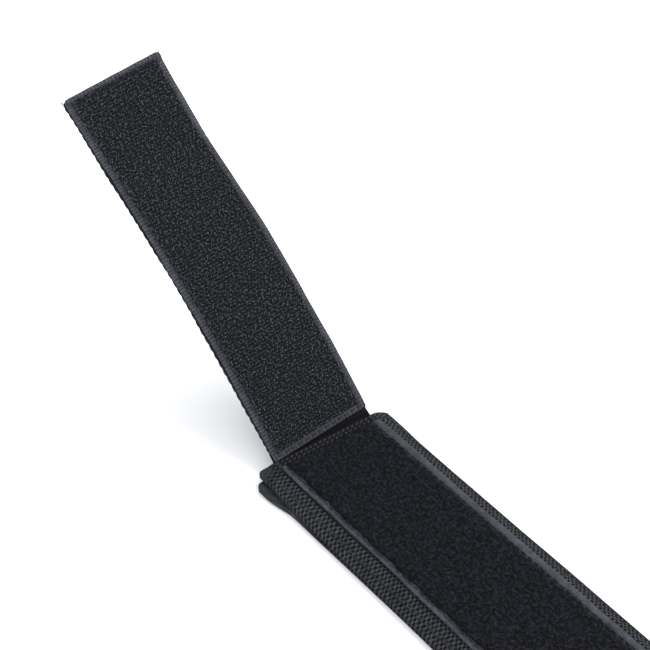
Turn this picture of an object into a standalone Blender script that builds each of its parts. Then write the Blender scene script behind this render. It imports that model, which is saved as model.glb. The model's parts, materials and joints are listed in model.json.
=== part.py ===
"""Windlass tourniquet: a hook-faced pull tab, a two-layer sleeve with a loop tape, a tension
strap inside it, a windlass with its clip and closure strap, and a routing buckle.

Metres, +Z up. The strap lies on the ground plane z = 0 and runs along X, with its pull tab at -X
and its buckle at +X. The origin is on the underside of the base plate, below the windlass axis.
"""

import math

import bmesh
import bpy
from mathutils import Matrix, Vector

# ---------------------------------------------------------------- driving dimensions (metres)
GAP = 0.0003  # between pieces that are sewn, clamped or moulded together

# lengths along the strap, measured from the sleeve's mouth
WINDLASS_FROM_MOUTH = 0.662
PLATE_LEAD = 0.005
PLATE_AFTER_AXIS = 0.074
BAR_AFTER_PLATE = 0.036
FOLD_RAMP = 0.0030
FOLD_LENGTH = 0.0140

# webbing and tapes
TAPE_WIDTH = 0.0381
SLEEVE_WIDTH = 0.0508
STRAP_WIDTH = 0.0254
LAYER_T = 0.0015
STRAP_T = 0.0016
SELVAGE = 0.0033
LOOP_GROUND_T = 0.0007
LOOP_PILE_T = 0.0010
HOOK_GROUND_T = 0.0006
HOOK_FIELD_T = 0.0007
MARGIN_DROOP = 0.0019
LOWER_LIP = 0.0010
LOOP_INSET = 0.0030
LOOP_END_CLEAR = 0.0040

# pull tab
TAB_LENGTH = 0.141
TAB_ROOT_ANGLE = math.radians(45.0)
TAB_TIP_ANGLE = math.radians(28.5)
HINGE_BEFORE_MOUTH = 0.0020
TAB_CLEAR = 0.0010
TAIL_CLEAR = 0.0015
HOOK_INSET_ROOT = 0.0035
HOOK_INSET_TIP = 0.0020
FIELD_FROM_ROOT = 0.0030
FIELD_FROM_TIP = 0.0036
TAIL_LENGTH = 0.045

# sewing thread
THREAD_W = 0.0006
THREAD_T = 0.0003
SEAM_FROM_EDGE = 0.0026
SEAM_FROM_END = 0.0012
ROOT_SEAM_INSET = 0.0018
TIP_SEAM_INSET = 0.0024
EDGE_SEAM_FROM_MOUTH = 0.0010
EDGE_SEAM_FROM_PLATE = 0.0020
BARTACK_FROM_WINDOW = 0.0030
BARTACK_HALF = 0.0009
ANCHOR_SEAM_MARGIN = 0.0020
ANCHOR_SEAM_FROM_EDGE = 0.0006
BOX_STITCH_INSET = 0.0037
TOOL_PAST = 0.0020  # how far a cutting tool stands past what it cuts

# base plate
WING_MARGIN = 0.0030
PLATE_CORNER = 0.0040

# windlass rod
ROD_LENGTH = 0.140
ROD_RADIUS = 0.0050
BARREL_RADIUS = 0.0062
BARREL_LENGTH = 0.036
ROD_SLOT_HEIGHT = 0.0034
GRIP_GROOVE = 0.0006
GRIP_COUNT = 5
GRIP_PITCH = 0.0050
GRIP_FROM_END = 0.0080
GRIP_HALF = 0.0011
GRIP_FLOOR_HALF = 0.0005
ROD_NOSE = 0.0035
BARREL_TAPER = 0.0040
BIGHT_ENTRY_CLEAR = 0.0004
WINDOW_CLEAR = 0.0040
WINDOW_LENGTH = 0.040
BIGHT_LEAD = 0.0100
BIGHT_SWING = 0.0085
BIGHT_DIP = 0.0080

# windlass clip
ROD_PAST_CLIP = 0.008
CLIP_LENGTH = 0.024
CLIP_BASE_T = 0.0020
CLIP_WALL_T = 0.0030
CLIP_LIP_T = 0.0026
CLIP_BEAD = 0.0012
ROD_CLEAR = 0.0004
FOOT_WIDTH = 0.0085
RIVET_RADIUS = 0.0018
RIVET_HEAD_T = 0.0009

# closure strap
CLOSURE_WIDTH = 0.0220
CLOSURE_T = 0.0012
CLOSURE_COVER = 0.058
CLOSURE_CLEAR = 0.0020
CLOSURE_HINGE_GAP = 0.0016
CLOSURE_FLAP_END = 0.0010
PATCH_T = 0.0008
PATCH_LENGTH = 0.024
PATCH_MARGIN = 0.0010
PATCH_FROM_END = 0.0020
LABEL_LENGTH = 0.030
LABEL_T = 0.0003
LABEL_MARGIN = 0.0015
LABEL_FROM_FOLD = 0.0020

# routing buckle
SLOT_CLEAR_Y = 0.0032
SLOT_X = 0.0100
BUCKLE_RAIL = 0.0050
BUCKLE_CROSSBAR = 0.0050
BUCKLE_T = 0.0042
BAR_RADIUS = 0.0021
BUCKLE_EDGE = 0.0007

# ---------------------------------------------------------------- places worked out from them
MOUTH_X = -WINDLASS_FROM_MOUTH
CLIP_X = ROD_PAST_CLIP + CLIP_LENGTH / 2 - ROD_LENGTH / 2
WING_X0 = CLIP_X - CLIP_LENGTH / 2 - WING_MARGIN
WING_X1 = CLIP_X + CLIP_LENGTH / 2 + WING_MARGIN
PLATE_X0 = WING_X0 - PLATE_LEAD
PLATE_X1 = PLATE_AFTER_AXIS
BAR_X = PLATE_X1 + BAR_AFTER_PLATE
HINGE_X = MOUTH_X - HINGE_BEFORE_MOUTH

STRAP_Z0 = LAYER_T + GAP
STRAP_MID = STRAP_Z0 + STRAP_T / 2
UPPER_Z0 = STRAP_Z0 + STRAP_T + GAP
UPPER_Z1 = UPPER_Z0 + LAYER_T
LOOP_Z0 = UPPER_Z1 + GAP
PILE_Z0 = LOOP_Z0 + LOOP_GROUND_T + GAP
FLAT_HALF = TAPE_WIDTH / 2 + 0.0002
FIELD_HALF = TAPE_WIDTH / 2 - SELVAGE

CLIP_BASE_Z0 = UPPER_Z1 + GAP
CLIP_BASE_Z1 = CLIP_BASE_Z0 + CLIP_BASE_T
ROD_Z = CLIP_BASE_Z1 + ROD_CLEAR + ROD_RADIUS
LIP_Z0 = ROD_Z + ROD_RADIUS + ROD_CLEAR
LIP_Z1 = LIP_Z0 + CLIP_LIP_T
WALL_Y0 = ROD_RADIUS + ROD_CLEAR
WALL_Y1 = WALL_Y0 + CLIP_WALL_T
FOOT_Y0 = SLEEVE_WIDTH / 2 + 2 * GAP
FOOT_Y1 = FOOT_Y0 + FOOT_WIDTH
WING_Y = FOOT_Y1 + WING_MARGIN
FOOT_Z0 = LAYER_T + GAP

COLLECTION = "tourniquet"
CUTTERS = "cutters"


# ---------------------------------------------------------------- scene and materials
def clear_scene():
    for obj in list(bpy.data.objects):
        bpy.data.objects.remove(obj, do_unlink=True)
    for data in (bpy.data.meshes, bpy.data.curves, bpy.data.materials, bpy.data.collections):
        for block in list(data):
            data.remove(block)


def make_collection(name):
    group = bpy.data.collections.new(name)
    bpy.context.scene.collection.children.link(group)
    return group


def material(name, colour, roughness, metallic=0.0):
    mat = bpy.data.materials.new(name)
    mat.use_nodes = True
    shader = mat.node_tree.nodes["Principled BSDF"]
    shader.inputs["Base Color"].default_value = (*colour, 1.0)
    shader.inputs["Roughness"].default_value = roughness
    shader.inputs["Metallic"].default_value = metallic
    mat.diffuse_color = (*colour, 1.0)
    return mat


BLACK_WEBBING = ((0.030, 0.031, 0.035), 0.85)
LOOP_BLACK = ((0.016, 0.017, 0.020), 0.95)
HOOK_BLACK = ((0.034, 0.035, 0.040), 0.55)
THREAD_BLACK = ((0.012, 0.012, 0.014), 0.70)
PLASTIC_BLACK = ((0.020, 0.020, 0.022), 0.45)
STEEL = ((0.55, 0.55, 0.57), 0.35)
LABEL_GREY = ((0.72, 0.72, 0.70), 0.80)


# ---------------------------------------------------------------- building tools
def put(name, data, look, metallic=0.0, parent=None):
    """Link a mesh or curve as the named piece, with its own material."""
    obj = bpy.data.objects.new(name, data)
    bpy.data.collections[COLLECTION].objects.link(obj)
    data.materials.clear()
    data.materials.append(material(name, look[0], look[1], metallic))
    if parent is not None:
        obj.parent = parent
    return obj


def pivot(name, place):
    """An empty on a joint's axis, which the moving pieces hang from."""
    empty = bpy.data.objects.new(name, None)
    bpy.data.collections[COLLECTION].objects.link(empty)
    empty.location = place
    return empty


def outline_curve(name, outlines, depth):
    """A closed flat outline, with later outlines as holes, in local XY and depth thick in Z."""
    curve = bpy.data.curves.new(name, "CURVE")
    curve.dimensions = "2D"
    curve.fill_mode = "BOTH"
    curve.extrude = depth / 2
    for outline in outlines:
        spline = curve.splines.new("POLY")
        spline.points.add(len(outline) - 1)
        for point, (x, y) in zip(spline.points, outline):
            point.co = (x, y, 0, 1)
        spline.use_cyclic_u = True
    return curve


LYING = Matrix.Identity(3)
XZ_PLANE = Matrix(((1, 0, 0), (0, 0, -1), (0, 1, 0)))
YZ_PLANE = Matrix(((0, 0, 1), (1, 0, 0), (0, 1, 0)))


def plate_piece(name, outlines, depth, plane, place, look, metallic=0.0, parent=None):
    """An extruded outline in the given plane, centred in depth on place."""
    obj = put(name, outline_curve(name, outlines, depth), look, metallic, parent)
    obj.matrix_world = Matrix.Translation(place) @ plane.to_4x4()
    return obj


def box_piece(name, low, high, look, metallic=0.0, parent=None):
    """A box between two corners, as a cube primitive."""
    size = Vector(high) - Vector(low)
    middle = (Vector(high) + Vector(low)) / 2
    bm = bmesh.new()
    bmesh.ops.create_cube(bm, size=1.0, matrix=Matrix.Diagonal((*size, 1.0)))
    mesh = bpy.data.meshes.new(name)
    bm.to_mesh(mesh)
    bm.free()
    obj = put(name, mesh, look, metallic, parent)
    obj.matrix_world = Matrix.Translation(middle)
    return obj


def arc(cx, cy, radius, turn0, turn1, steps=4):
    """Points along an arc from one angle to another."""
    turns = [turn0 + (turn1 - turn0) * step / steps for step in range(steps + 1)]
    return [(cx + radius * math.cos(turn), cy + radius * math.sin(turn)) for turn in turns]


def rounded_rectangle(x0, x1, y0, y1, radius, steps=4):
    """Corner points of a rectangle with round corners, anticlockwise."""
    points = []
    corners = ((x1 - radius, y1 - radius), (x0 + radius, y1 - radius),
               (x0 + radius, y0 + radius), (x1 - radius, y0 + radius))
    for number, (cx, cy) in enumerate(corners):
        start = math.pi / 2 * number
        points += arc(cx, cy, radius, start, start + math.pi / 2, steps)
    return points


def ribbon_outline(path, thickness):
    """Outline of a strap seen edge on: the path with half the thickness on either side."""
    left, right = [], []
    for i, point in enumerate(path):
        here = Vector(point)
        before = (here - Vector(path[i - 1])).normalized() if i else None
        after = (Vector(path[i + 1]) - here).normalized() if i < len(path) - 1 else None
        tangent = ((before or after) + (after or before)).normalized()
        normal = Vector((-tangent.y, tangent.x))
        lean = normal.dot(Vector((-(after or before).y, (after or before).x)))
        reach = thickness / 2 / lean
        left.append(tuple(here + normal * reach))
        right.append(tuple(here - normal * reach))
    return left + right[::-1]


def ribbon(name, path, thickness, width, y_middle, look, parent=None):
    """A strap of constant width whose length follows a path in the XZ plane."""
    place = (0, y_middle, 0)
    outline = ribbon_outline(path, thickness)
    return plate_piece(name, [outline], width, XZ_PLANE, place, look, parent=parent)


def to_mesh(obj):
    """Swap a curve object for its welded mesh, keeping its name, place and material."""
    graph = bpy.context.evaluated_depsgraph_get()
    mesh = bpy.data.meshes.new_from_object(obj.evaluated_get(graph))
    bm = bmesh.new()
    bm.from_mesh(mesh)
    bmesh.ops.remove_doubles(bm, verts=bm.verts, dist=0.00001)
    bm.to_mesh(mesh)
    bm.free()
    name, matrix, parent = obj.name, obj.matrix_world.copy(), obj.parent
    bpy.data.objects.remove(obj, do_unlink=True)
    solid = bpy.data.objects.new(name, mesh)
    bpy.data.collections[COLLECTION].objects.link(solid)
    solid.parent = parent
    solid.matrix_world = matrix
    return solid


def cut(obj, low, high):
    """Cut a box out of a mesh piece with an exact Boolean."""
    cutter = box_piece(obj.name + "_cutter", low, high, PLASTIC_BLACK)
    bpy.data.collections[COLLECTION].objects.unlink(cutter)
    bpy.data.collections[CUTTERS].objects.link(cutter)
    cutter.hide_render = True
    cutter.display_type = "WIRE"
    modifier = obj.modifiers.new("cut", "BOOLEAN")
    modifier.operation = "DIFFERENCE"
    modifier.solver = "EXACT"
    modifier.object = cutter


# ---------------------------------------------------------------- the sleeve
def margin_drop(y):
    """How far the sleeve's upper layer falls towards its edges at a distance across it."""
    share = (abs(y) - FLAT_HALF) / (SLEEVE_WIDTH / 2 - FLAT_HALF)
    share = min(max(share, 0.0), 1.0)
    return MARGIN_DROOP * (1 - math.cos(math.pi * share)) / 2


def crowned_section(steps=6):
    """Cross-section of the sleeve's upper layer, as (y, z) points."""
    half = SLEEVE_WIDTH / 2
    side = [FLAT_HALF + (half - FLAT_HALF) * i / steps for i in range(steps + 1)]
    across = [-y for y in reversed(side)] + side
    top = [(y, UPPER_Z1 - margin_drop(y)) for y in reversed(across)]
    bottom = [(y, UPPER_Z0 - margin_drop(y)) for y in across]
    return bottom + top


def make_sleeve():
    length = PLATE_X1 - MOUTH_X
    middle = (PLATE_X1 + MOUTH_X) / 2
    upper = plate_piece(
        "sleeve_upper", [crowned_section()], length, YZ_PLANE, (middle, 0, 0), BLACK_WEBBING)
    upper = to_mesh(upper)
    window_half_y = STRAP_WIDTH / 2 + WINDOW_CLEAR
    cut(
        upper, (-WINDOW_LENGTH / 2, -window_half_y, 0),
        (WINDOW_LENGTH / 2, window_half_y, UPPER_Z1 + TOOL_PAST))
    half = SLEEVE_WIDTH / 2
    box_piece("sleeve_lower", (MOUTH_X - LOWER_LIP, -half, 0), (PLATE_X0 - GAP, half, LAYER_T), BLACK_WEBBING)


def make_loop_tape():
    x0 = MOUTH_X + LOOP_INSET
    x1 = -ROD_LENGTH / 2 - LOOP_END_CLEAR
    half = TAPE_WIDTH / 2
    box_piece("loop_tape", (x0, -half, LOOP_Z0), (x1, half, LOOP_Z0 + LOOP_GROUND_T), BLACK_WEBBING)
    box_piece(
        "loop_pile", (x0, -FIELD_HALF, PILE_Z0), (x1, FIELD_HALF, PILE_Z0 + LOOP_PILE_T), LOOP_BLACK)
    for side, sign in (("left", -1), ("right", 1)):
        y = sign * (FIELD_HALF + GAP + THREAD_W / 2)
        box_piece(
            "loop_seam_" + side, (x0, y - THREAD_W / 2, PILE_Z0),
            (x1, y + THREAD_W / 2, PILE_Z0 + THREAD_T), THREAD_BLACK)


def make_sleeve_seams():
    for side, sign in (("left", -1), ("right", 1)):
        y = sign * (SLEEVE_WIDTH / 2 - SEAM_FROM_EDGE)
        z = UPPER_Z1 - margin_drop(abs(y) - THREAD_W / 2) + GAP
        box_piece(
            "edge_seam_" + side, (MOUTH_X + EDGE_SEAM_FROM_MOUTH, y - THREAD_W / 2, z),
            (PLATE_X0 - EDGE_SEAM_FROM_PLATE, y + THREAD_W / 2, z + THREAD_T), THREAD_BLACK)
    for number, share in ((1, 0.25), (2, 0.72)):
        x = MOUTH_X + LOOP_INSET * share
        box_piece(
            "mouth_stitch_%d" % number, (x - THREAD_W / 2, -FLAT_HALF, LOOP_Z0),
            (x + THREAD_W / 2, FLAT_HALF, LOOP_Z0 + THREAD_T), THREAD_BLACK)
    for name, sign in (("front", -1), ("rear", 1)):
        x = sign * (WINDOW_LENGTH / 2 + BARTACK_FROM_WINDOW)
        box_piece(
            "window_bartack_" + name, (x - BARTACK_HALF, -STRAP_WIDTH / 2, LOOP_Z0),
            (x + BARTACK_HALF, STRAP_WIDTH / 2, LOOP_Z0 + THREAD_T), THREAD_BLACK)


# ---------------------------------------------------------------- the strap inside it
def make_tension_strap():
    tail_x0 = HINGE_X + TAIL_CLEAR
    tail_x1 = MOUTH_X + TAIL_LENGTH
    z0, z1 = STRAP_Z0, STRAP_Z0 + STRAP_T
    half = TAPE_WIDTH / 2
    box_piece("tab_tail", (tail_x0, -half, z0), (tail_x1, half, z1), BLACK_WEBBING)
    half = STRAP_WIDTH / 2
    box_piece(
        "tension_strap_front", (tail_x1 + GAP, -half, z0), (-WINDOW_LENGTH / 2, half, z1), BLACK_WEBBING)
    ribbon("tension_strap_rear", rear_strap_path(), STRAP_T, STRAP_WIDTH, 0, BLACK_WEBBING)


def buckle_axis_z():
    """Height of the buckle's bar: the strap passes under it on the ground plane."""
    return STRAP_T + GAP + BAR_RADIUS


def fold_mid_z():
    """Height of the strap's middle where its returned end lies sewn beneath it."""
    return STRAP_T + GAP + STRAP_T / 2


def rear_strap_path():
    """From the window to the buckle's bar, round it and back under, as (x, z) points."""
    turn_radius = BAR_RADIUS + GAP + STRAP_T / 2
    axis_z = buckle_axis_z()
    path = [(WINDOW_LENGTH / 2, STRAP_MID), (PLATE_X1, STRAP_MID), (PLATE_X1 + FOLD_RAMP, fold_mid_z())]
    path.append((PLATE_X1 + FOLD_LENGTH, fold_mid_z()))
    path.append((BAR_X - 2 * turn_radius, axis_z + turn_radius - STRAP_T / 4))
    path += arc(BAR_X, axis_z, turn_radius, math.pi / 2, -math.pi / 2, 8)
    path.append((PLATE_X1 + FOLD_RAMP, STRAP_T / 2))
    return path


def bight_frames(steps=12):
    """Centre, width direction and thickness direction along the strap's bight.

    The strap leaves the window lying flat, rises while it turns a quarter turn, and passes
    through the windlass rod's slot across the rod. The second half is the first one turned
    half a turn about the windlass axis.
    """
    start = Vector((-WINDOW_LENGTH / 2 + GAP, 0, STRAP_MID))
    lead = start + Vector((BIGHT_LEAD, 0, 0))
    entry = Vector((0, -BARREL_RADIUS - BIGHT_ENTRY_CLEAR, ROD_Z))
    swing = entry + Vector((0, -BIGHT_SWING, -BIGHT_DIP))
    half = []
    for step in range(steps + 1):
        t = step / steps
        u = 1 - t
        centre = start * u**3 + lead * (3 * u * u * t) + swing * (3 * u * t * t) + entry * t**3
        tangent = (lead - start) * u * u + (swing - lead) * (2 * u * t) + (entry - swing) * t * t
        turn = math.pi / 2 * (t * t * (3 - 2 * t))
        across = Vector((-math.sin(turn), math.cos(turn), 0))
        half.append((centre, across, tangent.cross(across).normalized()))
    turned = [
        (Vector((-c.x, -c.y, c.z)), w, Vector((-n.x, -n.y, n.z))) for c, w, n in reversed(half)
    ]
    return half + turned


def make_bight(parent):
    """The strap's bight through the rod, as a loft of rectangles."""
    bm = bmesh.new()
    rings = []
    for centre, across, normal in bight_frames():
        wide, thick = across * STRAP_WIDTH / 2, normal * STRAP_T / 2
        corners = (wide + thick, -wide + thick, -wide - thick, wide - thick)
        rings.append([bm.verts.new(centre + corner) for corner in corners])
    for one, two in zip(rings, rings[1:]):
        for i in range(4):
            bm.faces.new((one[i], one[(i + 1) % 4], two[(i + 1) % 4], two[i]))
    bm.faces.new(rings[0][::-1])
    bm.faces.new(rings[-1])
    bmesh.ops.recalc_face_normals(bm, faces=bm.faces)
    mesh = bpy.data.meshes.new("tension_bight")
    bm.to_mesh(mesh)
    bm.free()
    obj = put("tension_bight", mesh, BLACK_WEBBING)
    obj.parent = parent
    obj.matrix_parent_inverse = parent.matrix_world.inverted()


# ---------------------------------------------------------------- the pull tab
def tab_point(s, offset=0.0):
    """Point on the tab at distance s from its hinge line, raised by offset off its middle."""
    bend = (TAB_ROOT_ANGLE - TAB_TIP_ANGLE) / TAB_LENGTH
    angle = TAB_ROOT_ANGLE - bend * s
    x = HINGE_X - (math.sin(TAB_ROOT_ANGLE) - math.sin(angle)) / bend
    z = STRAP_MID + (math.cos(angle) - math.cos(TAB_ROOT_ANGLE)) / bend
    return (x + offset * math.sin(angle), z + offset * math.cos(angle))


def tab_path(s0, s1, offset, steps=10):
    """Points along the tab from its tip to its root, so that the outline runs anticlockwise."""
    return [tab_point(s1 + (s0 - s1) * i / steps, offset) for i in range(steps + 1)]


def tab_layer(name, s0, s1, rise, thickness, width, look, y_middle=0.0, steps=10):
    path = tab_path(s0, s1, rise + thickness / 2, steps)
    return ribbon(name, path, thickness, width, y_middle, look)


def make_tab():
    s0, s1 = HOOK_INSET_ROOT, TAB_LENGTH - HOOK_INSET_TIP
    ground = STRAP_T / 2 + GAP
    top = ground + HOOK_GROUND_T + GAP
    seam_y = FIELD_HALF + GAP + THREAD_W / 2
    pieces = [
        tab_layer("tab_webbing", TAB_CLEAR, TAB_LENGTH, -STRAP_T / 2, STRAP_T, TAPE_WIDTH, BLACK_WEBBING),
        tab_layer("hook_tape", s0, s1, ground, HOOK_GROUND_T, TAPE_WIDTH, HOOK_BLACK),
        tab_layer(
            "hook_field", s0 + FIELD_FROM_ROOT, s1 - FIELD_FROM_TIP, top, HOOK_FIELD_T, 2 * FIELD_HALF, HOOK_BLACK),
    ]
    for side, sign in (("left", -1), ("right", 1)):
        y = sign * seam_y
        pieces.append(tab_layer(
            "hook_seam_" + side, s0 + SEAM_FROM_END, s1 - SEAM_FROM_END, top,
            THREAD_T, THREAD_W, THREAD_BLACK, y))
    for end, s in (("root", s0 + ROOT_SEAM_INSET), ("tip", s1 - TIP_SEAM_INSET)):
        pieces.append(tab_layer(
            "hook_seam_" + end, s - THREAD_W / 2, s + THREAD_W / 2, top, THREAD_T,
            2 * seam_y - THREAD_W - 2 * GAP, THREAD_BLACK, steps=1))
    hinge = pivot("tab_pivot", (HINGE_X, 0, STRAP_MID))
    bpy.context.view_layer.update()
    for piece in pieces:
        piece.parent = hinge
        piece.matrix_parent_inverse = hinge.matrix_world.inverted()


# ---------------------------------------------------------------- base plate, clip and rivets
def make_base_plate():
    """A flat moulding in line with the sleeve's lower layer, with a wing each side of the clip."""
    half, r = SLEEVE_WIDTH / 2, PLATE_CORNER
    side = [(PLATE_X0, half), (WING_X0, half)]
    side += arc(WING_X0 + r, WING_Y - r, r, math.pi, math.pi / 2)
    side += arc(WING_X1 - r, WING_Y - r, r, math.pi / 2, 0)
    side += [(WING_X1, half)]
    side += arc(PLATE_X1 - r, half - r, r, math.pi / 2, 0)
    outline = side + [(x, -y) for x, y in reversed(side)]
    plate_piece("base_plate", [outline[::-1]], LAYER_T, LYING, (0, 0, LAYER_T / 2), PLASTIC_BLACK)


def make_clip():
    """A bridge over the sleeve with a hook that the rod's end swings into from -Y."""
    z_foot = FOOT_Z0 + CLIP_BASE_T
    leg = CLIP_BASE_T
    lip_y = -ROD_RADIUS * 0.4
    outline = [
        (-FOOT_Y1, FOOT_Z0), (-FOOT_Y0, FOOT_Z0), (-FOOT_Y0, CLIP_BASE_Z0), (FOOT_Y0, CLIP_BASE_Z0),
        (FOOT_Y0, FOOT_Z0), (FOOT_Y1, FOOT_Z0), (FOOT_Y1, z_foot), (FOOT_Y0 + leg, z_foot),
        (FOOT_Y0 + leg, CLIP_BASE_Z1 - 0.001), (FOOT_Y0 + leg - 0.001, CLIP_BASE_Z1),
        (WALL_Y1, CLIP_BASE_Z1), (WALL_Y1, LIP_Z1 - 0.002), (WALL_Y1 - 0.002, LIP_Z1),
        (lip_y, LIP_Z1), (lip_y - CLIP_BEAD, LIP_Z1 - 0.0006), (lip_y - CLIP_BEAD, LIP_Z0 + 0.0008),
        (lip_y, LIP_Z0), (WALL_Y0, LIP_Z0), (WALL_Y0, CLIP_BASE_Z1),
        (-FOOT_Y0 - leg + 0.001, CLIP_BASE_Z1), (-FOOT_Y0 - leg, CLIP_BASE_Z1 - 0.001),
        (-FOOT_Y0 - leg, z_foot), (-FOOT_Y1, z_foot),
    ]
    plate_piece("windlass_clip", [outline], CLIP_LENGTH, YZ_PLANE, (CLIP_X, 0, 0), PLASTIC_BLACK)
    for number, (sx, sy) in enumerate(((-1, -1), (1, -1), (-1, 1), (1, 1)), start=1):
        x = CLIP_X + sx * (CLIP_LENGTH / 2 - 2.2 * RIVET_RADIUS)
        y = sy * (FOOT_Y1 - 1.6 * RIVET_RADIUS)
        make_rivet("clip_rivet_%d" % number, x, y, z_foot + GAP)


def make_rivet(name, x, y, z):
    """A domed rivet head, as a turned profile."""
    dome = [(RIVET_RADIUS * x, RIVET_HEAD_T * z) for x, z in arc(0, 0, 1, math.pi / 2, 0)[1:]]
    profile = [(0.0, RIVET_HEAD_T)] + dome + [(0.0, 0.0)]
    turned(name, profile, "Z", (x, y, z), STEEL, 1.0, steps=12)


def turned(name, profile, axis, place, look, metallic=0.0, steps=16, parent=None):
    """A turned piece from (radius, height) points that run down its outer side, top to bottom."""
    mesh = bpy.data.meshes.new(name)
    mesh.from_pydata([(r, 0, h) for r, h in profile], [(i, i + 1) for i in range(len(profile) - 1)], [])
    obj = put(name, mesh, look, metallic)
    screw = obj.modifiers.new("screw", "SCREW")
    screw.axis = "Z"
    screw.steps = steps
    screw.render_steps = steps
    screw.use_merge_vertices = True
    screw.merge_threshold = 0.00001
    obj.location = place
    if axis == "X":
        obj.rotation_euler = (0, math.pi / 2, 0)
    return obj


# ---------------------------------------------------------------- windlass
def rod_profile():
    """Half of the rod's side, from its end to its barrel, then the other half, as (r, x)."""
    half = ROD_LENGTH / 2
    nose = ROD_NOSE
    points = [(0.0, half), (ROD_RADIUS - nose * 0.6, half), (ROD_RADIUS - nose * 0.15, half - nose * 0.4)]
    points.append((ROD_RADIUS, half - nose))
    for number in range(GRIP_COUNT):
        x = half - GRIP_FROM_END - number * GRIP_PITCH
        points += [(ROD_RADIUS, x + GRIP_HALF), (ROD_RADIUS - GRIP_GROOVE, x + GRIP_FLOOR_HALF)]
        points += [(ROD_RADIUS - GRIP_GROOVE, x - GRIP_FLOOR_HALF), (ROD_RADIUS, x - GRIP_HALF)]
    points += [(ROD_RADIUS, BARREL_LENGTH / 2 + BARREL_TAPER), (BARREL_RADIUS, BARREL_LENGTH / 2)]
    return points + [(r, -x) for r, x in reversed(points)]


def make_windlass():
    hinge = pivot("windlass_pivot", (0, 0, ROD_Z))
    rod = turned("windlass_rod", rod_profile(), "X", (0, 0, ROD_Z), PLASTIC_BLACK)
    slot_half = STRAP_WIDTH / 2 + 2 * GAP
    cut(rod, (-slot_half, -2 * BARREL_RADIUS, ROD_Z - ROD_SLOT_HEIGHT / 2),
        (slot_half, 2 * BARREL_RADIUS, ROD_Z + ROD_SLOT_HEIGHT / 2))
    bpy.context.view_layer.update()
    rod.parent = hinge
    rod.matrix_parent_inverse = hinge.matrix_world.inverted()
    make_bight(hinge)


# ---------------------------------------------------------------- closure strap
def make_closure():
    """The strap that closes over the rod in its clip, shown laid open on the +Y side."""
    x0, x1 = CLIP_X - CLOSURE_WIDTH / 2, CLIP_X + CLOSURE_WIDTH / 2
    anchor_y0, anchor_y1 = FOOT_Y1 + GAP, WING_Y
    z0 = LAYER_T + GAP
    box_piece(
        "closure_anchor", (x0, anchor_y0, z0),
        (x1, anchor_y1 + CLOSURE_FLAP_END, z0 + CLOSURE_T), BLACK_WEBBING)
    seam_y0, seam_z0 = anchor_y0 + ANCHOR_SEAM_FROM_EDGE, z0 + CLOSURE_T + GAP
    box_piece(
        "closure_anchor_stitch", (x0 + ANCHOR_SEAM_MARGIN, seam_y0, seam_z0),
        (x1 - ANCHOR_SEAM_MARGIN, seam_y0 + THREAD_W, seam_z0 + THREAD_T), THREAD_BLACK)
    box_piece(
        "closure_landing", (x0, -WING_Y, z0), (x1, -FOOT_Y1 - GAP, z0 + PATCH_T), LOOP_BLACK)

    riser_y0 = anchor_y1 + CLOSURE_FLAP_END + CLOSURE_HINGE_GAP
    riser_axis = Vector((CLIP_X, anchor_y1 + CLOSURE_FLAP_END + CLOSURE_HINGE_GAP / 2, z0 + CLOSURE_T / 2))
    cover_axis = riser_axis + Vector((0, closure_rise(), 0))
    riser_y1 = cover_axis.y - CLOSURE_HINGE_GAP / 2
    cover_y0 = cover_axis.y + CLOSURE_HINGE_GAP / 2
    cover_y1 = cover_y0 + CLOSURE_COVER
    riser = pivot("closure_riser_pivot", riser_axis)
    cover = pivot("closure_cover_pivot", cover_axis)
    bpy.context.view_layer.update()
    cover.parent = riser
    cover.matrix_parent_inverse = riser.matrix_world.inverted()
    top = z0 + CLOSURE_T + GAP
    pieces = [
        (riser, box_piece(
            "closure_riser", (x0, riser_y0, z0), (x1, riser_y1, z0 + CLOSURE_T), BLACK_WEBBING)),
        (cover, box_piece(
            "closure_cover", (x0, cover_y0, z0), (x1, cover_y1, z0 + CLOSURE_T), BLACK_WEBBING)),
        (cover, box_piece(
            "closure_hook_patch", (x0 + PATCH_MARGIN, cover_y1 - PATCH_LENGTH, top),
            (x1 - PATCH_MARGIN, cover_y1 - PATCH_FROM_END, top + PATCH_T), HOOK_BLACK)),
        (cover, box_piece(
            "closure_label", (x0 + LABEL_MARGIN, cover_y0 + LABEL_FROM_FOLD, z0 - GAP - LABEL_T),
            (x1 - LABEL_MARGIN, cover_y0 + LABEL_FROM_FOLD + LABEL_LENGTH, z0 - GAP), LABEL_GREY)),
    ]
    for hinge, piece in pieces:
        piece.parent = hinge
        piece.matrix_parent_inverse = hinge.matrix_world.inverted()


def closure_rise():
    """Distance between the closure strap's two folds: it stands this high beside the clip."""
    return LIP_Z1 + CLOSURE_CLEAR + PATCH_T + GAP - FOOT_Z0


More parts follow.
